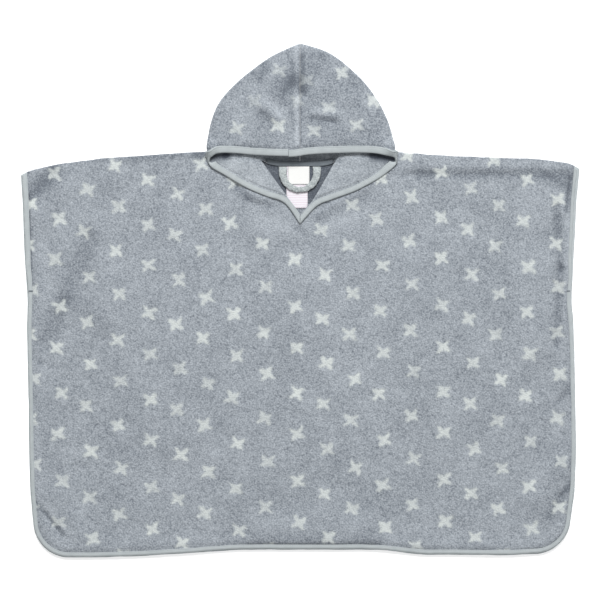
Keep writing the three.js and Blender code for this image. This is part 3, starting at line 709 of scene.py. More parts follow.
def satin_material(name, light, dark, stripe=None):
    """Woven label ribbon: a fine rib, and plain pale stripes if it has any."""
    material, tree, shader = new_material(name, 0.45, Sheen_Weight=0.2, Specular_IOR_Level=0.4)
    where = node(tree, "UVMap", uv_map="tape").outputs[0]
    parts = node(tree, "SeparateXYZ", {0: where}).outputs
    weft = calc(tree, "SINE", calc(tree, "MULTIPLY", parts[1], 2 * math.pi / 0.6))
    soil = noise(tree, where, 6, 2.0)
    tone = calc(tree, "MULTIPLY_ADD", weft, 0.12, soil)
    colour = blend_colours(tree, tone, dark, light)
    if stripe is not None:
        band = calc(tree, "SINE", calc(tree, "MULTIPLY", parts[1], 2 * math.pi / 3.4))
        inputs = {"Value": band, "From Min": 0.7, "From Max": 0.95, "To Max": 0.8}
        shown = node(tree, "MapRange", inputs, interpolation_type="SMOOTHSTEP").outputs[0]
        colour = blend_colours(tree, shown, colour, stripe)
    tree.links.new(colour, shader.inputs["Base Color"])
    set_bump(tree, shader, weft, 0.05, 0.4)
    return material


def thread_material(name, light, dark):
    material, tree, shader = new_material(name, 0.6, Sheen_Weight=0.2)
    grain = noise(tree, node(tree, "TexCoord").outputs["Object"], 0.8, 2.0)
    tree.links.new(blend_colours(tree, grain, dark, light), shader.inputs["Base Color"])
    return material


TERRY = terry_material("terry", linear(195, 202, 209), linear(112, 119, 128), linear(216, 222, 220))
LINING = terry_material("terry_inside", linear(198, 205, 211), linear(130, 137, 145))
LOOP_TERRY = terry_material("loop_terry", linear(214, 221, 220), linear(142, 150, 153))
JERSEY = jersey_material("jersey", linear(199, 206, 208), linear(169, 177, 180))
# A darker copy of the edge tape's jersey: painted shade on the neck tape that lies under the hood's upper lip.
NECK_JERSEY_PAINTED_SHADE = jersey_material("neck_jersey_painted_shade", linear(146, 154, 160), linear(108, 116, 124))
SATIN = satin_material("satin", linear(252, 252, 250), linear(238, 238, 236))
CARE_SATIN = satin_material(
    "care_satin", linear(250, 248, 252), linear(236, 232, 240), linear(226, 200, 216)
)
THREAD = thread_material("thread", linear(184, 192, 195), linear(152, 160, 165))
DARK_THREAD = thread_material("bartack_thread", linear(132, 140, 148), linear(92, 100, 110))


# Body panels.
SIDE_SHARES = np.r_[0, 0.0015, 0.004, np.linspace(0.008, 1, 160)]
CORNER_STEPS = 24
HEM_STEPS = 104  # on each side of the middle line
RIM_INSETS = (8.0, 7.4, 6.8, 4.5, 2.2, 0)
PUFF = {"start": 7.4, "top": 13, "end": 34, "height": 0.7}
SOFT = 10


def hem_y(x, trim):
    return lookup(HEM, "x", x, "y", SOFT) + EDGE_IN + trim["hem"]


def side_x(y, column, trim):
    return lookup(SIDES, "y", y, column, SOFT) - EDGE_IN - trim[column](y)


def shoulder_y(x):
    return lookup(SHOULDERS, "x", x, "y", SOFT) + 0.45 * lumps(x, x * 0, 13, 71)


def back_neck(x):
    return BACK_NECK_Y + BACK_NECK_RISE * abs(x / NECK_HALF) ** 5


def front_neck(x):
    return lookup(FRONT_NECK, "x", x, "y")


def body_edge(trim):
    """Edge of a panel's cloth down each side and round the hem: places and inward directions."""
    radius = CORNER_RADIUS - EDGE_IN - trim["hem"]
    side, corner = {}, {}
    for column, sign, end in (("left", -1, 0), ("right", 1, -1)):
        low_y = hem_y(HEM["x"][end], trim)
        near_foot = side_x(low_y + radius + np.array([-2, 2]), column, trim)
        lean = math.atan((near_foot[1] - near_foot[0]) / 4)
        foot_y = low_y + radius * (1 - math.sin(lean))
        top_y = SHOULDERS["y"][end]
        y = mix(top_y, foot_y, SIDE_SHARES)
        place = np.c_[sign * side_x(y, column, trim), y]
        along = unit(np.gradient(place, axis=0))
        across = sign * np.c_[along[:, 1], -along[:, 0]]
        slope = (shoulder_y(place[0, 0] - sign * FULL_IN) - top_y) / FULL_IN
        upper = np.linspace(1, 0, 8)[:, None]
        across[:8] = mix(across[:8], np.array([-sign, slope]), upper)
        side[column] = (place, across)
        turn = np.linspace(lean, math.pi / 2, CORNER_STEPS + 1)
        outward = np.c_[sign * np.cos(turn), -np.sin(turn)]
        middle = place[-1] - outward[0] * radius
        corner[column] = (middle + outward * radius, -outward)
        across[-1] = -outward[0]
    ends = [corner[column][0][-1, 0] for column in ("left", "right")]
    x = np.r_[np.linspace(ends[0], 0, HEM_STEPS + 1)[1:], np.linspace(0, ends[1], HEM_STEPS + 1)[1:-1]]
    hem = (np.c_[x, hem_y(x, trim)], np.tile([0.0, 1.0], (len(x), 1)))
    bottom = [np.vstack([corner["left"][k], hem[k], corner["right"][k][::-1]]) for k in range(2)]
    return side["left"], side["right"], bottom


def shown_share(place, trim):
    """Share of the tape's width that shows at each place."""
    if not trim["puffs"]:
        return np.ones(len(place))
    left, right = (lookup(TAPE_SHOWN, "y", place[:, 1], column, 12) for column in ("left", "right"))
    return np.where(place[:, 0] < 0, left, right)


def edge_of_body(trim):
    """The same edge as one line from the left shoulder tip round to the right one."""
    left, right, bottom = body_edge(trim)
    return [np.vstack([left[k], bottom[k][1:-1], right[k][::-1]]) for k in range(2)]


def panel(trim, neckline, height, edge_height):
    """A panel's middle surface: a grid inside, and rows round it for the strip in the tape."""
    left, right, bottom = body_edge(trim)
    lines = [place + across * FULL_IN for place, across in (left, right, bottom)]
    left_line, right_line, bottom_line = lines
    foot_x = bottom_line[:, 0]
    tips = np.where(foot_x < 0, left_line[0, 0], right_line[0, 0])
    feet = np.where(foot_x < 0, left_line[-1, 0], right_line[-1, 0])
    past = np.maximum(0, (abs(foot_x) - COLUMN_REACH) / (abs(feet) - COLUMN_REACH))
    top_x = foot_x + past * (tips - feet)
    top_line = np.c_[top_x, np.where(abs(top_x) < NECK_HALF, neckline(top_x), shoulder_y(top_x))]
    top_line[0], top_line[-1] = left_line[0], right_line[0]
    u = ((top_x - top_x[0]) / (top_x[-1] - top_x[0]))[None, :, None]
    v = SIDE_SHARES[:, None, None]
    inside = (1 - v) * top_line + v * bottom_line + (1 - u) * left_line[:, None] + u * right_line[:, None]
    inside -= (1 - v) * ((1 - u) * top_line[0] + u * top_line[-1])
    inside -= v * ((1 - u) * bottom_line[0] + u * bottom_line[-1])
    rows, columns = inside.shape[:2]
    index = np.arange(rows * columns).reshape(rows, columns)
    ring = [np.r_[index[:, 0], index[-1, 1:-1], index[::-1, -1]]]
    flat = [inside.reshape(-1, 2)]
    edge, inward = edge_of_body(trim)
    shown = shown_share(edge, trim)[:, None]
    for inset in RIM_INSETS:
        ring.append(np.arange(len(edge)) + sum(len(part) for part in flat))
        flat.append(edge + inward * inset * shown)
    flat = np.vstack(flat)
    faces = np.vstack([grid_faces(index), grid_faces(np.array(ring))])
    reach = distance_to(flat, edge)
    beyond = reach / shown_share(flat, trim)
    beyond[rows * columns:] = np.repeat(RIM_INSETS, len(edge))
    x, y = flat.T
    z = mix(edge_height, height(x, y, reach), smoothstep(beyond, 6.8, FULL_IN))
    return np.c_[flat, z], faces, beyond, distance_to(flat, top_line)


def front_height(x, y, reach):
    """The front rises to its bound edge, lies on the care label at the neck, and has soft folds."""
    edge_rise = (FRONT_EDGE - FRONT_MIDDLE) * (1 - smoothstep(reach, 10, 40))
    open_cloth = np.maximum(smoothstep(-y, -105, -60), smoothstep(abs(x), 145, 190))
    neck_rise = (FRONT_OVER_LABEL - FRONT_MIDDLE) * (1 - open_cloth)
    creases = relief(FRONT_CREASES, x, y) * smoothstep(reach, 6, 18)
    folds = open_cloth * relief(FRONT_FOLDS, x, y) + creases
    waves = 0.55 * lumps(x, y, 95, 11) + 0.35 * lumps(x, y, 42, 12)
    return FRONT_MIDDLE + np.maximum(edge_rise, neck_rise) + folds + open_cloth * waves


def cloth_walls(points, reach, seam, puff):
    """Thickness of the pile above and below a middle surface: thin in a tape and round at a seam."""
    x, y = points[:, 0], points[:, 1]
    full = smoothstep(reach, 6.8, 10.5)
    half = mix(HALF_PRESSED, HALF_CLOTH, full)
    swell = smoothstep(reach, PUFF["start"], PUFF["top"]) - smoothstep(reach, PUFF["top"], PUFF["end"])
    pile = 0.25 * lumps(x, y, 5, 21) + 0.3 * lumps(x, y, 14, 22)
    round_off = np.sqrt(np.clip(1 - (1 - np.clip(seam / 2.5, 0, 1)) ** 2, 0.04, 1))
    up = (half + full * (puff * (PUFF["height"] * swell + pile))) * round_off
    return up, half * round_off


def make_panel(name, trim, neckline, height, edge_height, puff, outside):
    points, faces, reach, seam = panel(trim, neckline, height, edge_height)
    up, down = cloth_walls(points, reach, seam, puff)
    directions = np.tile([0.0, 0.0, 1.0], (len(points), 1))
    if outside < 0:
        faces, directions, up, down = faces[:, ::-1], -directions, down, up
    walls, all_faces = shell(points, faces, directions, up, down)
    obj = add_mesh(name, walls, all_faces, TERRY)
    add_stars(obj, body_stars(), 1, len(points), seed=4)
    x, y = points[:, 0], points[:, 1]
    # Random tone, with painted shade along the neck and shoulder lines, painted shade on the inner face seen inside
    # the neck, and painted shade and highlight on the front's outer face.
    waves = 0.12 * lumps(x, y, 55, 23) - 0.6 * np.exp(-((seam / 3) ** 2))
    in_neck = smoothstep(y, 120, 150) * (1 - smoothstep(abs(x), 55, 75))
    inner = waves - NECK_SHADE * in_neck
    add_tone_and_painted_shade(obj, np.r_[waves + (relief(FRONT_PAINTED_SHADING, x, y) if outside > 0 else 0), inner])
    return obj


def no_trim(_):
    return 0.0


def left_trim(_):
    return FRONT_TRIM


def right_trim(y):
    return mix(FRONT_TRIM, RIGHT_ARMHOLE_TRIM, smoothstep(y, ARMHOLE_FOOT_Y, ARMHOLE_OPEN_Y))


BACK_TRIM = {"left": no_trim, "right": no_trim, "hem": 0, "puffs": False}
FRONT_OUTLINE_TRIM = {"left": left_trim, "right": right_trim, "hem": FRONT_TRIM, "puffs": True}


# Hood.
LEAF_STEPS = 52
FOLD_STEPS = 10
CROWN_STATIONS = 96
LIP_STATIONS = 62
LIP_INSETS = np.array([14, 12.6, 11.4, 10.4, 9.4, 6.4, 3.2, 0])


def lower_leaf_height(x, y):
    """The lower leaf lies on the floor beyond the shoulders, and on the front below them."""
    aside = smoothstep(abs(x), CLIMB["inner_x"], CLIMB["outer_x"])
    down = 1 - smoothstep(y, CLIMB["top_y"], CLIMB["foot_y"])
    return mix(BACK_MIDDLE, COLLAR_MIDDLE, aside * down)


def side_rows(rows, column, sign):
    y = rows.get(column + "y", rows.get("y"))
    return np.c_[sign * rows[column], y]


def lip_line(start, lip, steps):
    """A line of a leaf that ends on a bound lip, with close rows where its tape lies."""
    length = np.linalg.norm(start - lip)
    last = LIP_INSETS * min(1, 0.85 * length / LIP_INSETS[0])
    first = np.linspace(length, last[0], steps - len(last) + 2)[:-1]
    return lip + np.r_[first, last][:, None] * unit(start - lip)


def hood_half(column, sign):
    """Middle surface of half the hood, and the numbers of the points on its bound edge."""
    crown = side_rows(CROWN, column, sign)
    shares = 1 - (1 - np.linspace(0, 1, CROWN_STATIONS)) ** 1.2
    outline = curve(crown, shares)
    hub = np.array([0, UPPER_LIP["lefty"][0] + HUB_RISE])
    outward = unit(outline - hub)
    radius = mix(FOLD_RADIUS, CORNER_FOLD_RADIUS, shares)
    feet = outline - outward * (radius + HALF_CLOTH + SEAM_GAP * smoothstep(shares, 0.85, 0.95))[:, None]
    turned = smoothstep(shares, 0.9, 1)[:, None]
    low_feet = feet + turned * [sign * CORNER_TURN["out"], -CORNER_TURN["down"]]
    high_feet = feet + turned * [-sign * CORNER_TURN["in"], CORNER_TURN["up"]]
    upper = curve(np.vstack([side_rows(UPPER_LIP, column, sign), high_feet[-1]]), shares)
    seam_x = sign * NECK_HALF * SEAM_REACH * shares
    lap = HOOD_SEAM_LAP * smoothstep(abs(seam_x), 51, 56)
    starts = np.c_[seam_x, back_neck(seam_x) + HOOD_SEAM_GAP - lap]
    corner_top = COLLAR_MIDDLE + COLLAR_LIFT + 2 * CORNER_FOLD_RADIUS
    points, crown_lines = [], []
    for i, share in enumerate(shares):
        along = np.linspace(0, 1, LEAF_STEPS + 1)
        flat = mix(starts[i], low_feet[i], along[:, None])
        lift = COLLAR_LIFT * smoothstep(share, 0.79, 0.95)
        sag = 0.25 * np.sin(math.pi * along) * (1 + lumps(flat[:, 0], flat[:, 1], 30, 31))
        lower = np.c_[flat, lower_leaf_height(*flat.T) + lift * along + sag]
        turn = np.linspace(-math.pi / 2, math.pi / 2, FOLD_STEPS + 1)[1:]
        fold = mix(low_feet[i], high_feet[i], (1 + np.sin(turn))[:, None] / 2)
        fold = fold + outward[i] * (1 - 0.5 * turned[i]) * (radius[i] * np.cos(turn))[:, None]
        fold = np.c_[fold, lower[-1, 2] + radius[i] * (1 + np.sin(turn))]
        flat = lip_line(high_feet[i], upper[i], LEAF_STEPS)[1:]
        whole = max(np.linalg.norm(upper[i] - high_feet[i]), 1e-6)
        done = np.linalg.norm(flat - high_feet[i], axis=1) / whole
        lip_z = mix(LIP_MIDDLE_Z, corner_top, share**2) + LIP_RAISED * (1 - smoothstep(share, 0.25, 0.6))
        top = mix(fold[-1, 2], lip_z, np.minimum(1, done / 0.93))
        x, y = flat.T
        dome = np.sin(math.pi * np.minimum(1, done)) ** 0.8
        ridge = (0.9 if sign < 0 else 0.2) * np.exp(-(((abs(x) - 5) / 3.5) ** 2))
        waves = 0.5 * lumps(x, y, 34, 32) + 0.35 * lumps(x, y, 17, 33)
        top = top + dome * (relief(HOOD_CREASES, x, y) + ridge + waves + 1.6)
        if i == len(shares) - 1:
            line = np.vstack([lower, fold])
            numbers = np.r_[np.arange(len(line)), np.full(len(top), len(line) - 1)]
        else:
            line = np.vstack([lower, fold, np.c_[flat, top]])
            numbers = np.arange(len(line))
        crown_lines.append(numbers + sum(len(part) for part in points))
        points.append(line)
    lip_shares = np.linspace(0, 1, LIP_STATIONS + 1)[1:]
    lips = curve(np.vstack([low_feet[-1], side_rows(LOWER_LIP, column, sign)]), lip_shares)
    seam = curve(side_rows(HOOD_SEAM, column, sign), lip_shares)
    lip_lines = []
    for share, start, lip in zip(lip_shares, seam, lips):
        flat = lip_line(start, lip, LEAF_STEPS)
        along = np.linspace(0, 1, LEAF_STEPS + 1)
        plump = 0.9 * np.sin(math.pi * along) ** 0.7 * (1 - share**3)
        plump *= 1 + 0.5 * lumps(flat[:, 0], flat[:, 1], 16, 34)
        z = COLLAR_MIDDLE + COLLAR_LIFT * along * (1 - share) + plump
        lip_lines.append(np.arange(LEAF_STEPS + 1) + sum(len(part) for part in points))
        points.append(np.c_[flat, z])
    points = np.vstack(points)
    points[:, 0] = sign * np.maximum(sign * points[:, 0], SEAM_GAP / 2)
    lower_index = np.array([line[: LEAF_STEPS + 1] for line in crown_lines] + lip_lines)
    upper_index = np.array([line[LEAF_STEPS:] for line in crown_lines])
    faces = np.vstack([grid_faces(lower_index), grid_faces(upper_index)])
    if sign > 0:
        faces = faces[:, ::-1]
    fold_edge = crown_lines[-1][LEAF_STEPS : LEAF_STEPS + FOLD_STEPS + 1]
    lower_edge = lower_index[len(shares) :, -1][::-1]
    edge = np.r_[lower_edge, fold_edge, upper_index[-2::-1, -1]]
    ring = np.r_[
        lower_index[len(shares) :, -2][::-1],
        crown_lines[-2][LEAF_STEPS : LEAF_STEPS + FOLD_STEPS + 1],
        upper_index[-2::-1, -2],
    ]
    is_upper = np.zeros(len(points), bool)
    is_upper[upper_index] = True
    return points, faces, edge, ring, is_upper


def make_hood(name, column, sign):
    points, faces, edge, ring, upper = hood_half(column, sign)
    directions = normals_of(points, faces)
    if directions[upper, 2].mean() < 0:
        faces, directions = faces[:, ::-1], -directions
    at_seam = abs(points[:, 0]) < SEAM_GAP
    directions[at_seam, 0] = 0
    directions = unit(directions)
    reach = distance_to(points, points[edge])
    seam = np.where(points[:, 1] > 190, abs(points[:, 0]), 99)
    full = smoothstep(reach, 8.4, 11.8)
    half = mix(HALF_PRESSED, HALF_CLOTH, full)
    swell = 0.5 * (smoothstep(reach, 9, 14) - smoothstep(reach, 14, 30))
    pile = 0.22 * lumps(points[:, 0], points[:, 1], 5, 41) + 0.25 * lumps(points[:, 0], points[:, 1], 14, 42)
    round_off = np.sqrt(np.clip(1 - (1 - np.clip(seam / 2.2, 0, 1)) ** 2, 0.35, 1))
    up = (half + full * (swell + pile) * (directions[:, 2] > 0)) * round_off
    walls, all_faces = shell(points, faces, directions, up, half * round_off)
    obj = add_mesh(name, walls, all_faces, TERRY)
    obj.data.materials.append(LINING)
    centres = np.c_[HOOD_STARS["x"], HOOD_STARS["y"]]
    add_stars(obj, centres, HOOD_STARS["shown"], len(points), seed=7)
    x, y = points[:, 0], points[:, 1]
    # Random tone, with painted shade on the upper leaf and on the lower leaf's inner face in the hollow under the
    # upper lip, and painted shade and highlight from the tables.
    waves = 0.3 * lumps(x, y, 26, 43) - HOOD_SHADE * upper
    hollow = HOLLOW_SHADE * smoothstep(y, 186, 203) * (1 - smoothstep(abs(x), 56, 68))
    hollow = np.where(upper, 0, hollow - relief(HOOD_INNER_PAINTED_SHADING, x, y))
    add_tone_and_painted_shade(obj, np.r_[waves + np.where(upper, relief(HOOD_PAINTED_SHADING, x, y), -hollow), waves - hollow])
    inside = [any(v >= len(points) for v in face.vertices) for face in obj.data.polygons]
    obj.data.polygons.foreach_set("material_index", np.array(inside, np.int32))
    lower = 1 - smoothstep(directions[edge, 2], -0.5, 0.5)
    return obj, [points[edge], directions[edge], points[ring], lower[:, None]]


# Edge tapes.
GROOVE_IN = 1.9  # from a tape's inner edge to its row of stitches
V_TOP_Y = 150
LIP_JOIN_X = -16.5


def tape_section(width):
    """Half of a folded tape's outline, above its middle: inset from the cloth's edge, and height."""
    inner = width - EDGE_IN
    groove = inner - GROOVE_IN
    return np.array([
        (-SEAM_GAP, TAPE_SLOT),
        (inner, TAPE_SLOT),
        (inner + 0.1, TAPE_SLOT + 0.2),
        (inner - 0.2, TAPE_HALF - 0.25),
        (inner - 0.9, TAPE_HALF - 0.08),
        (groove + 0.45, TAPE_HALF - 0.12),
        (groove, TAPE_HALF - 0.38),
        (groove - 0.45, TAPE_HALF - 0.12),
        (groove - 1.2, TAPE_HALF),
        (1.6, TAPE_HALF + 0.02),
        (0.4, TAPE_HALF - 0.12),
        (-0.4, TAPE_HALF - 0.5),
        (-EDGE_IN + 0.05, TAPE_HALF - 1.05),
        (-EDGE_IN, 0.2),
    ])


def whole_section(width):
    half = tape_section(width)
    return np.vstack([half, half[::-1] * [1, -1]])


def sweep_tape(name, place, across, normal, width, shown, side=0):
    """A tape along an edge line. shown scales its width, and side keeps it on one side of the V."""
    section = whole_section(width)
    inset = section[None, :, 0] * np.where(section[None, :, 0] > 0, shown[:, None], 1)
    points = place[:, None] + across[:, None] * inset[..., None] + normal[:, None] * section[None, :, 1, None]
    if side:
        beside = side * np.maximum(side * points[..., 0], SEAM_GAP / 2)
        points[..., 0] = np.where(points[..., 1] < V_TOP_Y, beside, points[..., 0])
    stations, size = points.shape[:2]
    index = np.arange(stations * size).reshape(stations, size)
    faces = grid_faces(np.c_[index, index[:, 0]])
    flat = points.reshape(-1, 3)
    volume = np.einsum("ij,ij->", flat[faces[:, 0]], np.cross(flat[faces[:, 1]], flat[faces[:, 2]]))
    if volume < 0:
        faces = faces[:, ::-1]
    caps = [index[0].tolist(), index[-1].tolist()[::-1]]
    caps = caps if volume < 0 else [cap[::-1] for cap in caps]
    obj = add_mesh(name, flat, faces, JERSEY)
    close_ends(obj, caps)
    length = np.r_[0, np.cumsum(np.linalg.norm(np.diff(place, axis=0), axis=1))]
    around = np.r_[0, np.cumsum(np.linalg.norm(np.diff(section, axis=0), axis=1))]
    add_tape_map(obj, np.repeat(length, size), np.tile(around, stations))
    return obj


def close_ends(obj, caps):
    import bmesh

    mesh = bmesh.new()
    mesh.from_mesh(obj.data)
    mesh.verts.ensure_lookup_table()
    for cap in caps:
        made = mesh.faces.new([mesh.verts[i] for i in cap])
        made.smooth = False
    bmesh.ops.recalc_face_normals(mesh, faces=mesh.faces)
    mesh.to_mesh(obj.data)
    mesh.free()


def add_tape_map(obj, along, across):
    """A map of each point in millimetres along and across its strip."""
    vertex, _ = corner_places(obj.data)
    layer = obj.data.uv_layers.new(name="tape")
    layer.data.foreach_set("uv", np.c_[along, across][vertex].ravel())


def resample(line, others, step, start=0, end=None):
    """The line and what goes with it at even steps of its length, from start to end."""
    length = np.r_[0, np.cumsum(np.linalg.norm(np.diff(line, axis=0), axis=1))]
    end = length[-1] if end is None else end
    at = np.linspace(start, end, int((end - start) / step) + 1)
    return [
        np.stack([np.interp(at, length, values[:, k]) for k in range(values.shape[1])], axis=1)
        for values in (line, *others)
    ]


def body_tape(name, trim, middle_z, seed):
    edge, inward = edge_of_body(trim)
    place = np.c_[edge, np.full(len(edge), middle_z)]
    across = np.c_[inward, np.zeros(len(edge))]
    place, across = resample(place, [across], 2.2)
    run = np.arange(len(place)) * 2.2
    wander = 0.3 * lumps(run, run * 0, 26, seed) + 0.15 * lumps(run, run * 0, 9, seed + 1)
    across = unit(across)
    shown = shown_share(place[:, :2], trim)
    place = place + across * wander[:, None]
    normal = np.tile([0.0, 0.0, 1.0], (len(place), 1))
    tape = sweep_tape(name, place, across, normal, TAPE_WIDTH, shown)
    return tape, (place, across, normal, shown * (TAPE_WIDTH - EDGE_IN - GROOVE_IN))


def blur(values, times):
    """Evens out a line of values, and keeps its ends."""
    for _ in range(times):
        values = values.copy()
        values[1:-1] = 0.25 * values[:-2] + 0.5 * values[1:-1] + 0.25 * values[2:]
    return values


def face_tape(name, line, start, end, side):
    """One of the two tapes along the hood's bound edge, between two lengths of that edge."""
    edge, directions, ring, lower = line
    place, normal, inner, lower = resample(edge, [directions, ring, lower], 1.6, start, end)
    normal = unit(blur(normal, 6))
    along = unit(blur(np.gradient(place, axis=0), 3))
    across = np.cross(normal, along)
    across = unit(blur(across * np.sign((across * (inner - place)).sum(axis=1).mean()), 4))
    near_v = smoothstep(-place[:, 1], -150, -118) * blur(lower, 20)[:, 0]
    on_lower = blur(lower, 20)[:, 0] * (1 - smoothstep(abs(place[:, 0]), 108, 130))
    shown = 1 - 0.26 * on_lower - 0.04 * near_v
    away = np.linalg.norm(place - place[0 if side > 0 else -1], axis=1)
    drop = 1.3 * np.exp(-away / 34) if side > 0 else 0.2 * np.exp(-away / 12)
    run = np.arange(len(place)) * 1.6
    drop = drop + 0.25 * lumps(run, run * 0, 24, 65)
    place = place - across * drop[:, None]
    tape = sweep_tape(name, place, across, normal, FACE_TAPE_WIDTH, shown, side)
    return tape, (place, across, normal, shown * (FACE_TAPE_WIDTH - EDGE_IN - GROOVE_IN))


def stitches(place, across, normal, inset, height, pitch):
    """A row of thread stitches that lie along a tape."""
    place = place + across * np.reshape(inset, (-1, 1)) + normal * height
    length = np.r_[0, np.cumsum(np.linalg.norm(np.diff(place, axis=0), axis=1))]
    at = np.arange(pitch / 2, length[-1] - pitch / 2, pitch)
    long_half, radius = 0.42 * pitch, 0.24
    rings = [(-1, 0.35), (-0.7, 0.95), (0, 1.15), (0.7, 0.95), (1, 0.35)]
    sides = 6
    turns = np.arange(sides) * 2 * math.pi / sides
    points, faces = [], []
    for centre in at:
        base = len(points) * len(rings) * sides
        block = []
        for share, swell in rings:
            spot = [np.interp(centre + share * long_half, length, place[:, k]) for k in range(3)]
            up = np.array([np.interp(centre, length, normal[:, k]) for k in range(3)])
            ahead = np.array([np.interp(centre + 1, length, place[:, k]) for k in range(3)])
            behind = np.array([np.interp(centre - 1, length, place[:, k]) for k in range(3)])
            aside = unit(np.cross(up, ahead - behind))
            dip = up * (-0.22 * abs(share) ** 3)
            for turn in turns:
                block.append(spot + dip + radius * swell * (aside * math.cos(turn) + up * math.sin(turn)))
        points.append(block)
        for ring in range(len(rings) - 1):
            for k in range(sides):
                a = base + ring * sides
                faces.append((a + k, a + (k + 1) % sides, a + sides + (k + 1) % sides, a + sides + k))
        faces.append(tuple(base + k for k in range(sides))[::-1])
        faces.append(tuple(base + (len(rings) - 1) * sides + k for k in range(sides)))
    return np.array(points).reshape(-1, 3), faces


def add_thread(name, rows, material):
    """One mesh of all the stitches in several rows."""
    points, faces = [], []
    for row_points, row_faces in rows:
        base = sum(len(part) for part in points)
        points.append(row_points)
        faces += [tuple(base + i for i in face) for face in row_faces]
    mesh = bpy.data.meshes.new(name)
    mesh.from_pydata((np.vstack(points) * MM).tolist(), [], faces)
    mesh.shade_smooth()
    obj = bpy.data.objects.new(name, mesh)
    bpy.context.scene.collection.objects.link(obj)
    obj.data.materials.append(material)
    return obj


# Trim at the back neck.
NECK_TAPE = {"left": -47, "right": 47, "below": 1, "above": 6, "half": 0.4}
NECK_TAPE_CLIMB = {"height": 0.4, "start": 22, "end": 40}
LOOP = {"middle_x": -0.3, "radius": 24.5, "bend_y": 183, "top_y": 191.4, "half": 5.5, "foot": 0.7}
LOOP_WALL = {"thick": 2.4, "rise": 1.8}
NECK_LABEL = {"left": -17, "right": 13.5, "bottom": 166, "top": 191.6}
CARE_LABEL = {"left": -19.5, "right": 11, "bottom": 131.7, "top": 191.6}


def strip(name, columns, rows, half, place_at, material):
    """A thin flat strip, from a function of the shares along and across it."""
    along, across = np.meshgrid(np.linspace(0, 1, columns + 1), np.linspace(0, 1, rows + 1), indexing="ij")
    points = place_at(along.ravel(), across.ravel())
    index = np.arange(len(points)).reshape(along.shape)
    faces = grid_faces(index)
    directions = normals_of(points, faces)
    if directions[:, 2].mean() < 0:
        faces, directions = faces[:, ::-1], -directions
    margin = np.minimum.reduce([along, 1 - along, across, 1 - across]).ravel()
    thick = np.where(margin > 0, half, 0.6 * half)
    walls, all_faces = shell(points, faces, directions, thick, thick)
    obj = add_mesh(name, walls, all_faces, material)
    add_tape_map(obj, np.tile(points[:, 0], 2), np.tile(points[:, 1], 2))
    return obj


def neck_tape_place(along, across):
    x = mix(NECK_TAPE["left"], NECK_TAPE["right"], along)
    y = back_neck(x) - NECK_TAPE["below"] + (NECK_TAPE["below"] + NECK_TAPE["above"]) * across
    climb = NECK_TAPE_CLIMB["height"] * smoothstep(abs(x), NECK_TAPE_CLIMB["start"], NECK_TAPE_CLIMB["end"])
    z = lower_leaf_height(x, y) + HALF_CLOTH + SEAM_GAP + NECK_TAPE["half"] + climb
    return np.c_[x, y, z + 0.25 * np.sin(math.pi * across)]


def label_place(label, height, curl):
    def place(along, across):
        x = mix(label["left"], label["right"], along)
        y = mix(label["bottom"], label["top"], across)
        lift = curl * (1 - across) ** 2 * (0.4 + 0.6 * along)
        return np.c_[x, y, height + lift]

    return place


def hanging_loop():
    """A flat terry loop: two legs from the neck tape and a half circle over the labels."""
    high_z = NECK_LABEL_MIDDLE + LABEL / 2 + SEAM_GAP + LOOP_WALL["thick"] / 2
    turn = np.linspace(0, math.pi, 120)
    outward = np.c_[-np.cos(turn), -np.sin(turn)]
    bend = [LOOP["middle_x"], LOOP["bend_y"]] + outward * LOOP["radius"]
    narrow = mix(1, LOOP["foot"], np.sin(turn))
    legs = np.linspace(LOOP["top_y"], LOOP["bend_y"], 10)[:-1]
    left = np.c_[np.full(9, bend[0, 0]), legs]
    right = np.c_[np.full(9, bend[-1, 0]), legs[::-1]]
    flat = np.vstack([left, bend, right])
    drop = LOOP_WALL["rise"] * smoothstep(flat[:, 1], LOOP["bend_y"], LOOP["top_y"])
    place = np.c_[flat, high_z - drop]
    across = np.vstack([np.tile(outward[0], (9, 1)), outward, np.tile(outward[-1], (9, 1))])
    width = LOOP["half"] * np.r_[np.ones(9), narrow, np.ones(9)]
    sides = 20
    angle = np.arange(sides) * 2 * math.pi / sides
    a = np.sign(np.cos(angle)) * abs(np.cos(angle)) ** 0.7
    b = np.sign(np.sin(angle)) * abs(np.sin(angle)) ** 0.7
    run = np.arange(len(place))[:, None] + 0 * angle[None]
    rough = 1 + 0.2 * lumps(run * 0.7, angle[None] * 5 + run * 0, 2.2, 51)
    points = place[:, None] + np.c_[across, np.zeros(len(across))][:, None] * (width[:, None] * a * rough)[..., None]
    points = points + np.array([0, 0, 1.0]) * (0.5 * LOOP_WALL["thick"] * b * rough)[..., None]
    stations = len(place)
    index = np.arange(stations * sides).reshape(stations, sides)
    obj = add_mesh("hanging_loop_terry", points.reshape(-1, 3), grid_faces(np.c_[index, index[:, 0]]), LOOP_TERRY)
    close_ends(obj, [index[0].tolist(), index[-1].tolist()])
    return obj


def bartack(name, x, y, z, width, length):
    """A short dense bar of thread across the foot of an armhole."""
    rows = []
    for offset in np.arange(-length / 2, length / 2 + 0.1, 0.45):
        place = np.c_[np.linspace(x - width / 2, x + width / 2, 6), np.full(6, y + offset), np.full(6, z)]
        normal = np.tile([0.0, 0.0, 1.0], (6, 1))
        rows.append(stitches(place, np.zeros((6, 3)), normal, 0, 0, 0.96 * width))
    return add_thread(name, rows, DARK_THREAD)


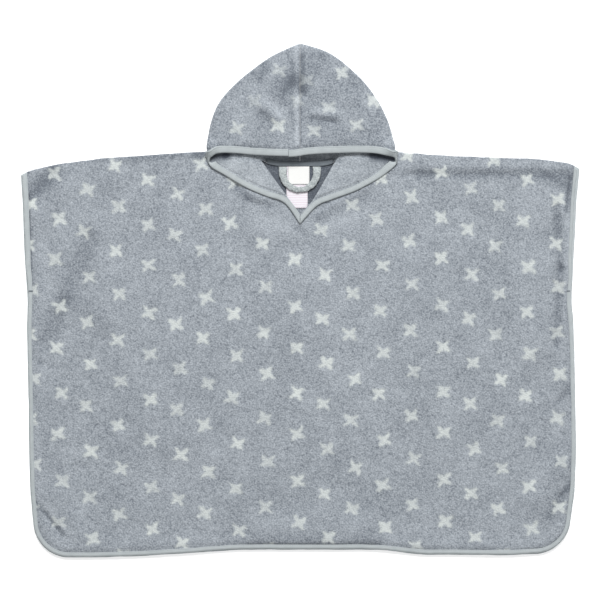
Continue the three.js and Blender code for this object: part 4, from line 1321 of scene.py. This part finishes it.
front = make_panel("front_cloth", FRONT_OUTLINE_TRIM, front_neck, front_height, FRONT_EDGE, 1.0, 1)
back = make_panel(
    "back_cloth", BACK_TRIM, back_neck, lambda x, y, reach: np.full(len(x), BACK_MIDDLE), TAPE_HALF, 0.0, -1
)
hood_left, left_edge = make_hood("hood_left_cloth", "left", -1)
hood_right, right_edge = make_hood("hood_right_cloth", "right", 1)
front_tape, front_rows = body_tape("binding_front_tape", FRONT_OUTLINE_TRIM, FRONT_EDGE, 61)
back_tape, back_rows = body_tape("binding_back_tape", BACK_TRIM, TAPE_HALF, 63)
hood_edge = [np.vstack([one, other[::-1]]) for one, other in zip(left_edge, right_edge)]
hood_length = np.r_[0, np.cumsum(np.linalg.norm(np.diff(hood_edge[0], axis=0), axis=1))]
on_upper_lip = np.flatnonzero((hood_edge[0][:, 1] > 190) & (hood_edge[0][:, 2] > COLLAR_MIDDLE + 2))
join = np.interp(LIP_JOIN_X, hood_edge[0][on_upper_lip, 0], hood_length[on_upper_lip])
face_left, left_rows = face_tape("binding_hood_left_tape", hood_edge, 0, join - 0.15, -1)
face_right, right_rows = face_tape("binding_hood_right_tape", hood_edge, join + 0.15, hood_length[-1], 1)
neck_tape = strip("neck_tape_jersey", 72, 8, NECK_TAPE["half"], neck_tape_place, NECK_JERSEY_PAINTED_SHADE)
neck_label = strip(
    "label_neck_satin", 16, 20, LABEL / 2, label_place(NECK_LABEL, NECK_LABEL_MIDDLE, 0.15), SATIN
)
care_label = strip(
    "label_care_satin", 16, 36, LABEL / 2, label_place(CARE_LABEL, CARE_LABEL_MIDDLE, 0), CARE_SATIN
)
loop = hanging_loop()

thread_height = TAPE_HALF - 0.3
front_thread = add_thread("binding_thread", [stitches(*front_rows, thread_height, 3.2)], THREAD)
under_rows = (back_rows[0], back_rows[1], -back_rows[2], back_rows[3])
back_thread = add_thread("binding_thread_under", [stitches(*under_rows, thread_height, 3.2)], THREAD)
hood_rows = [stitches(*rows, thread_height, 3.0) for rows in (left_rows, right_rows)]
hood_thread = add_thread("hood_thread", hood_rows, THREAD)
BARTACK_Y = 13.5
tack_left = bartack("bartack_left", -384.5, BARTACK_Y, FRONT_EDGE + TAPE_HALF + 0.3, 8, 1.4)
tack_right = bartack("bartack_right", 384, BARTACK_Y, FRONT_EDGE + TAPE_HALF + 0.3, 6, 1.4)

PIECES = (
    (front, "front", "terry"),
    (back, "back", "terry"),
    (hood_left, "hood_left", "terry"),
    (hood_right, "hood_right", "terry"),
    (front_tape, "binding_front", "edge_tape"),
    (back_tape, "binding_back", "edge_tape"),
    (face_left, "binding_hood", "edge_tape"),
    (face_right, "binding_hood", "edge_tape"),
    (neck_tape, "neck_tape", "edge_tape"),
    (loop, "hanging_loop", "loop_terry"),
    (neck_label, "label_neck", "label"),
    (care_label, "label_care", "label"),
    (front_thread, None, "edge_tape"),
    (back_thread, None, "edge_tape"),
    (hood_thread, None, "edge_tape"),
    (tack_left, None, "edge_tape"),
    (tack_right, None, "edge_tape"),
)
for piece, cad_node, slot_name in PIECES:
    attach(piece, "root")
    if cad_node:
        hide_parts(cad_node)


# Floor, light and camera.
def studio():
    low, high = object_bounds()
    middle = (low + high) / 2
    size = 30 * max(high.x - low.x, high.y - low.y)
    bpy.ops.mesh.primitive_grid_add(x_subdivisions=2, y_subdivisions=2, size=size, location=(0, 0, -0.0004))
    floor = bpy.context.object
    floor.name = "floor"
    material, tree, shader = new_material("floor", 0.9, Specular_IOR_Level=0.1)
    shader.inputs["Base Color"].default_value = linear(250, 250, 250)
    shader.inputs["Emission Color"].default_value = (1, 1, 1, 1)
    shader.inputs["Emission Strength"].default_value = 0.45
    floor.data.materials.append(material)
    world = bpy.context.scene.world or bpy.data.worlds.new("world")
    bpy.context.scene.world = world
    world.use_nodes = True
    background = world.node_tree.nodes["Background"]
    background.inputs["Color"].default_value = (1, 1, 1, 1)
    background.inputs["Strength"].default_value = 0.3
    lights = (("key", (0.15, 4.0, 4.2), 2.0, 330), ("fill", (2.0, -1.4, 3.0), 2.4, 14))
    for name, place, side, power in lights:
        light = bpy.data.lights.new(name, "AREA")
        light.size = side
        light.energy = power
        lamp = bpy.data.objects.new(name, light)
        lamp.location = place
        lamp.rotation_euler = (middle - Vector(place)).to_track_quat("-Z", "Y").to_euler()
        bpy.context.scene.collection.objects.link(lamp)
    bpy.context.scene.view_settings.view_transform = "Standard"


def photo_camera():
    """Straight down from high above, with the photograph's width on the cloth."""
    frame_width, middle_y, rise = 0.8587, 0.0007, 6.0
    data = bpy.data.cameras.new("camera")
    data.sensor_width = 36
    data.lens = data.sensor_width * rise / frame_width
    camera = bpy.data.objects.new("camera", data)
    camera.location = (0, middle_y, rise)
    bpy.context.scene.collection.objects.link(camera)
    bpy.context.scene.camera = camera


studio()
photo_camera()
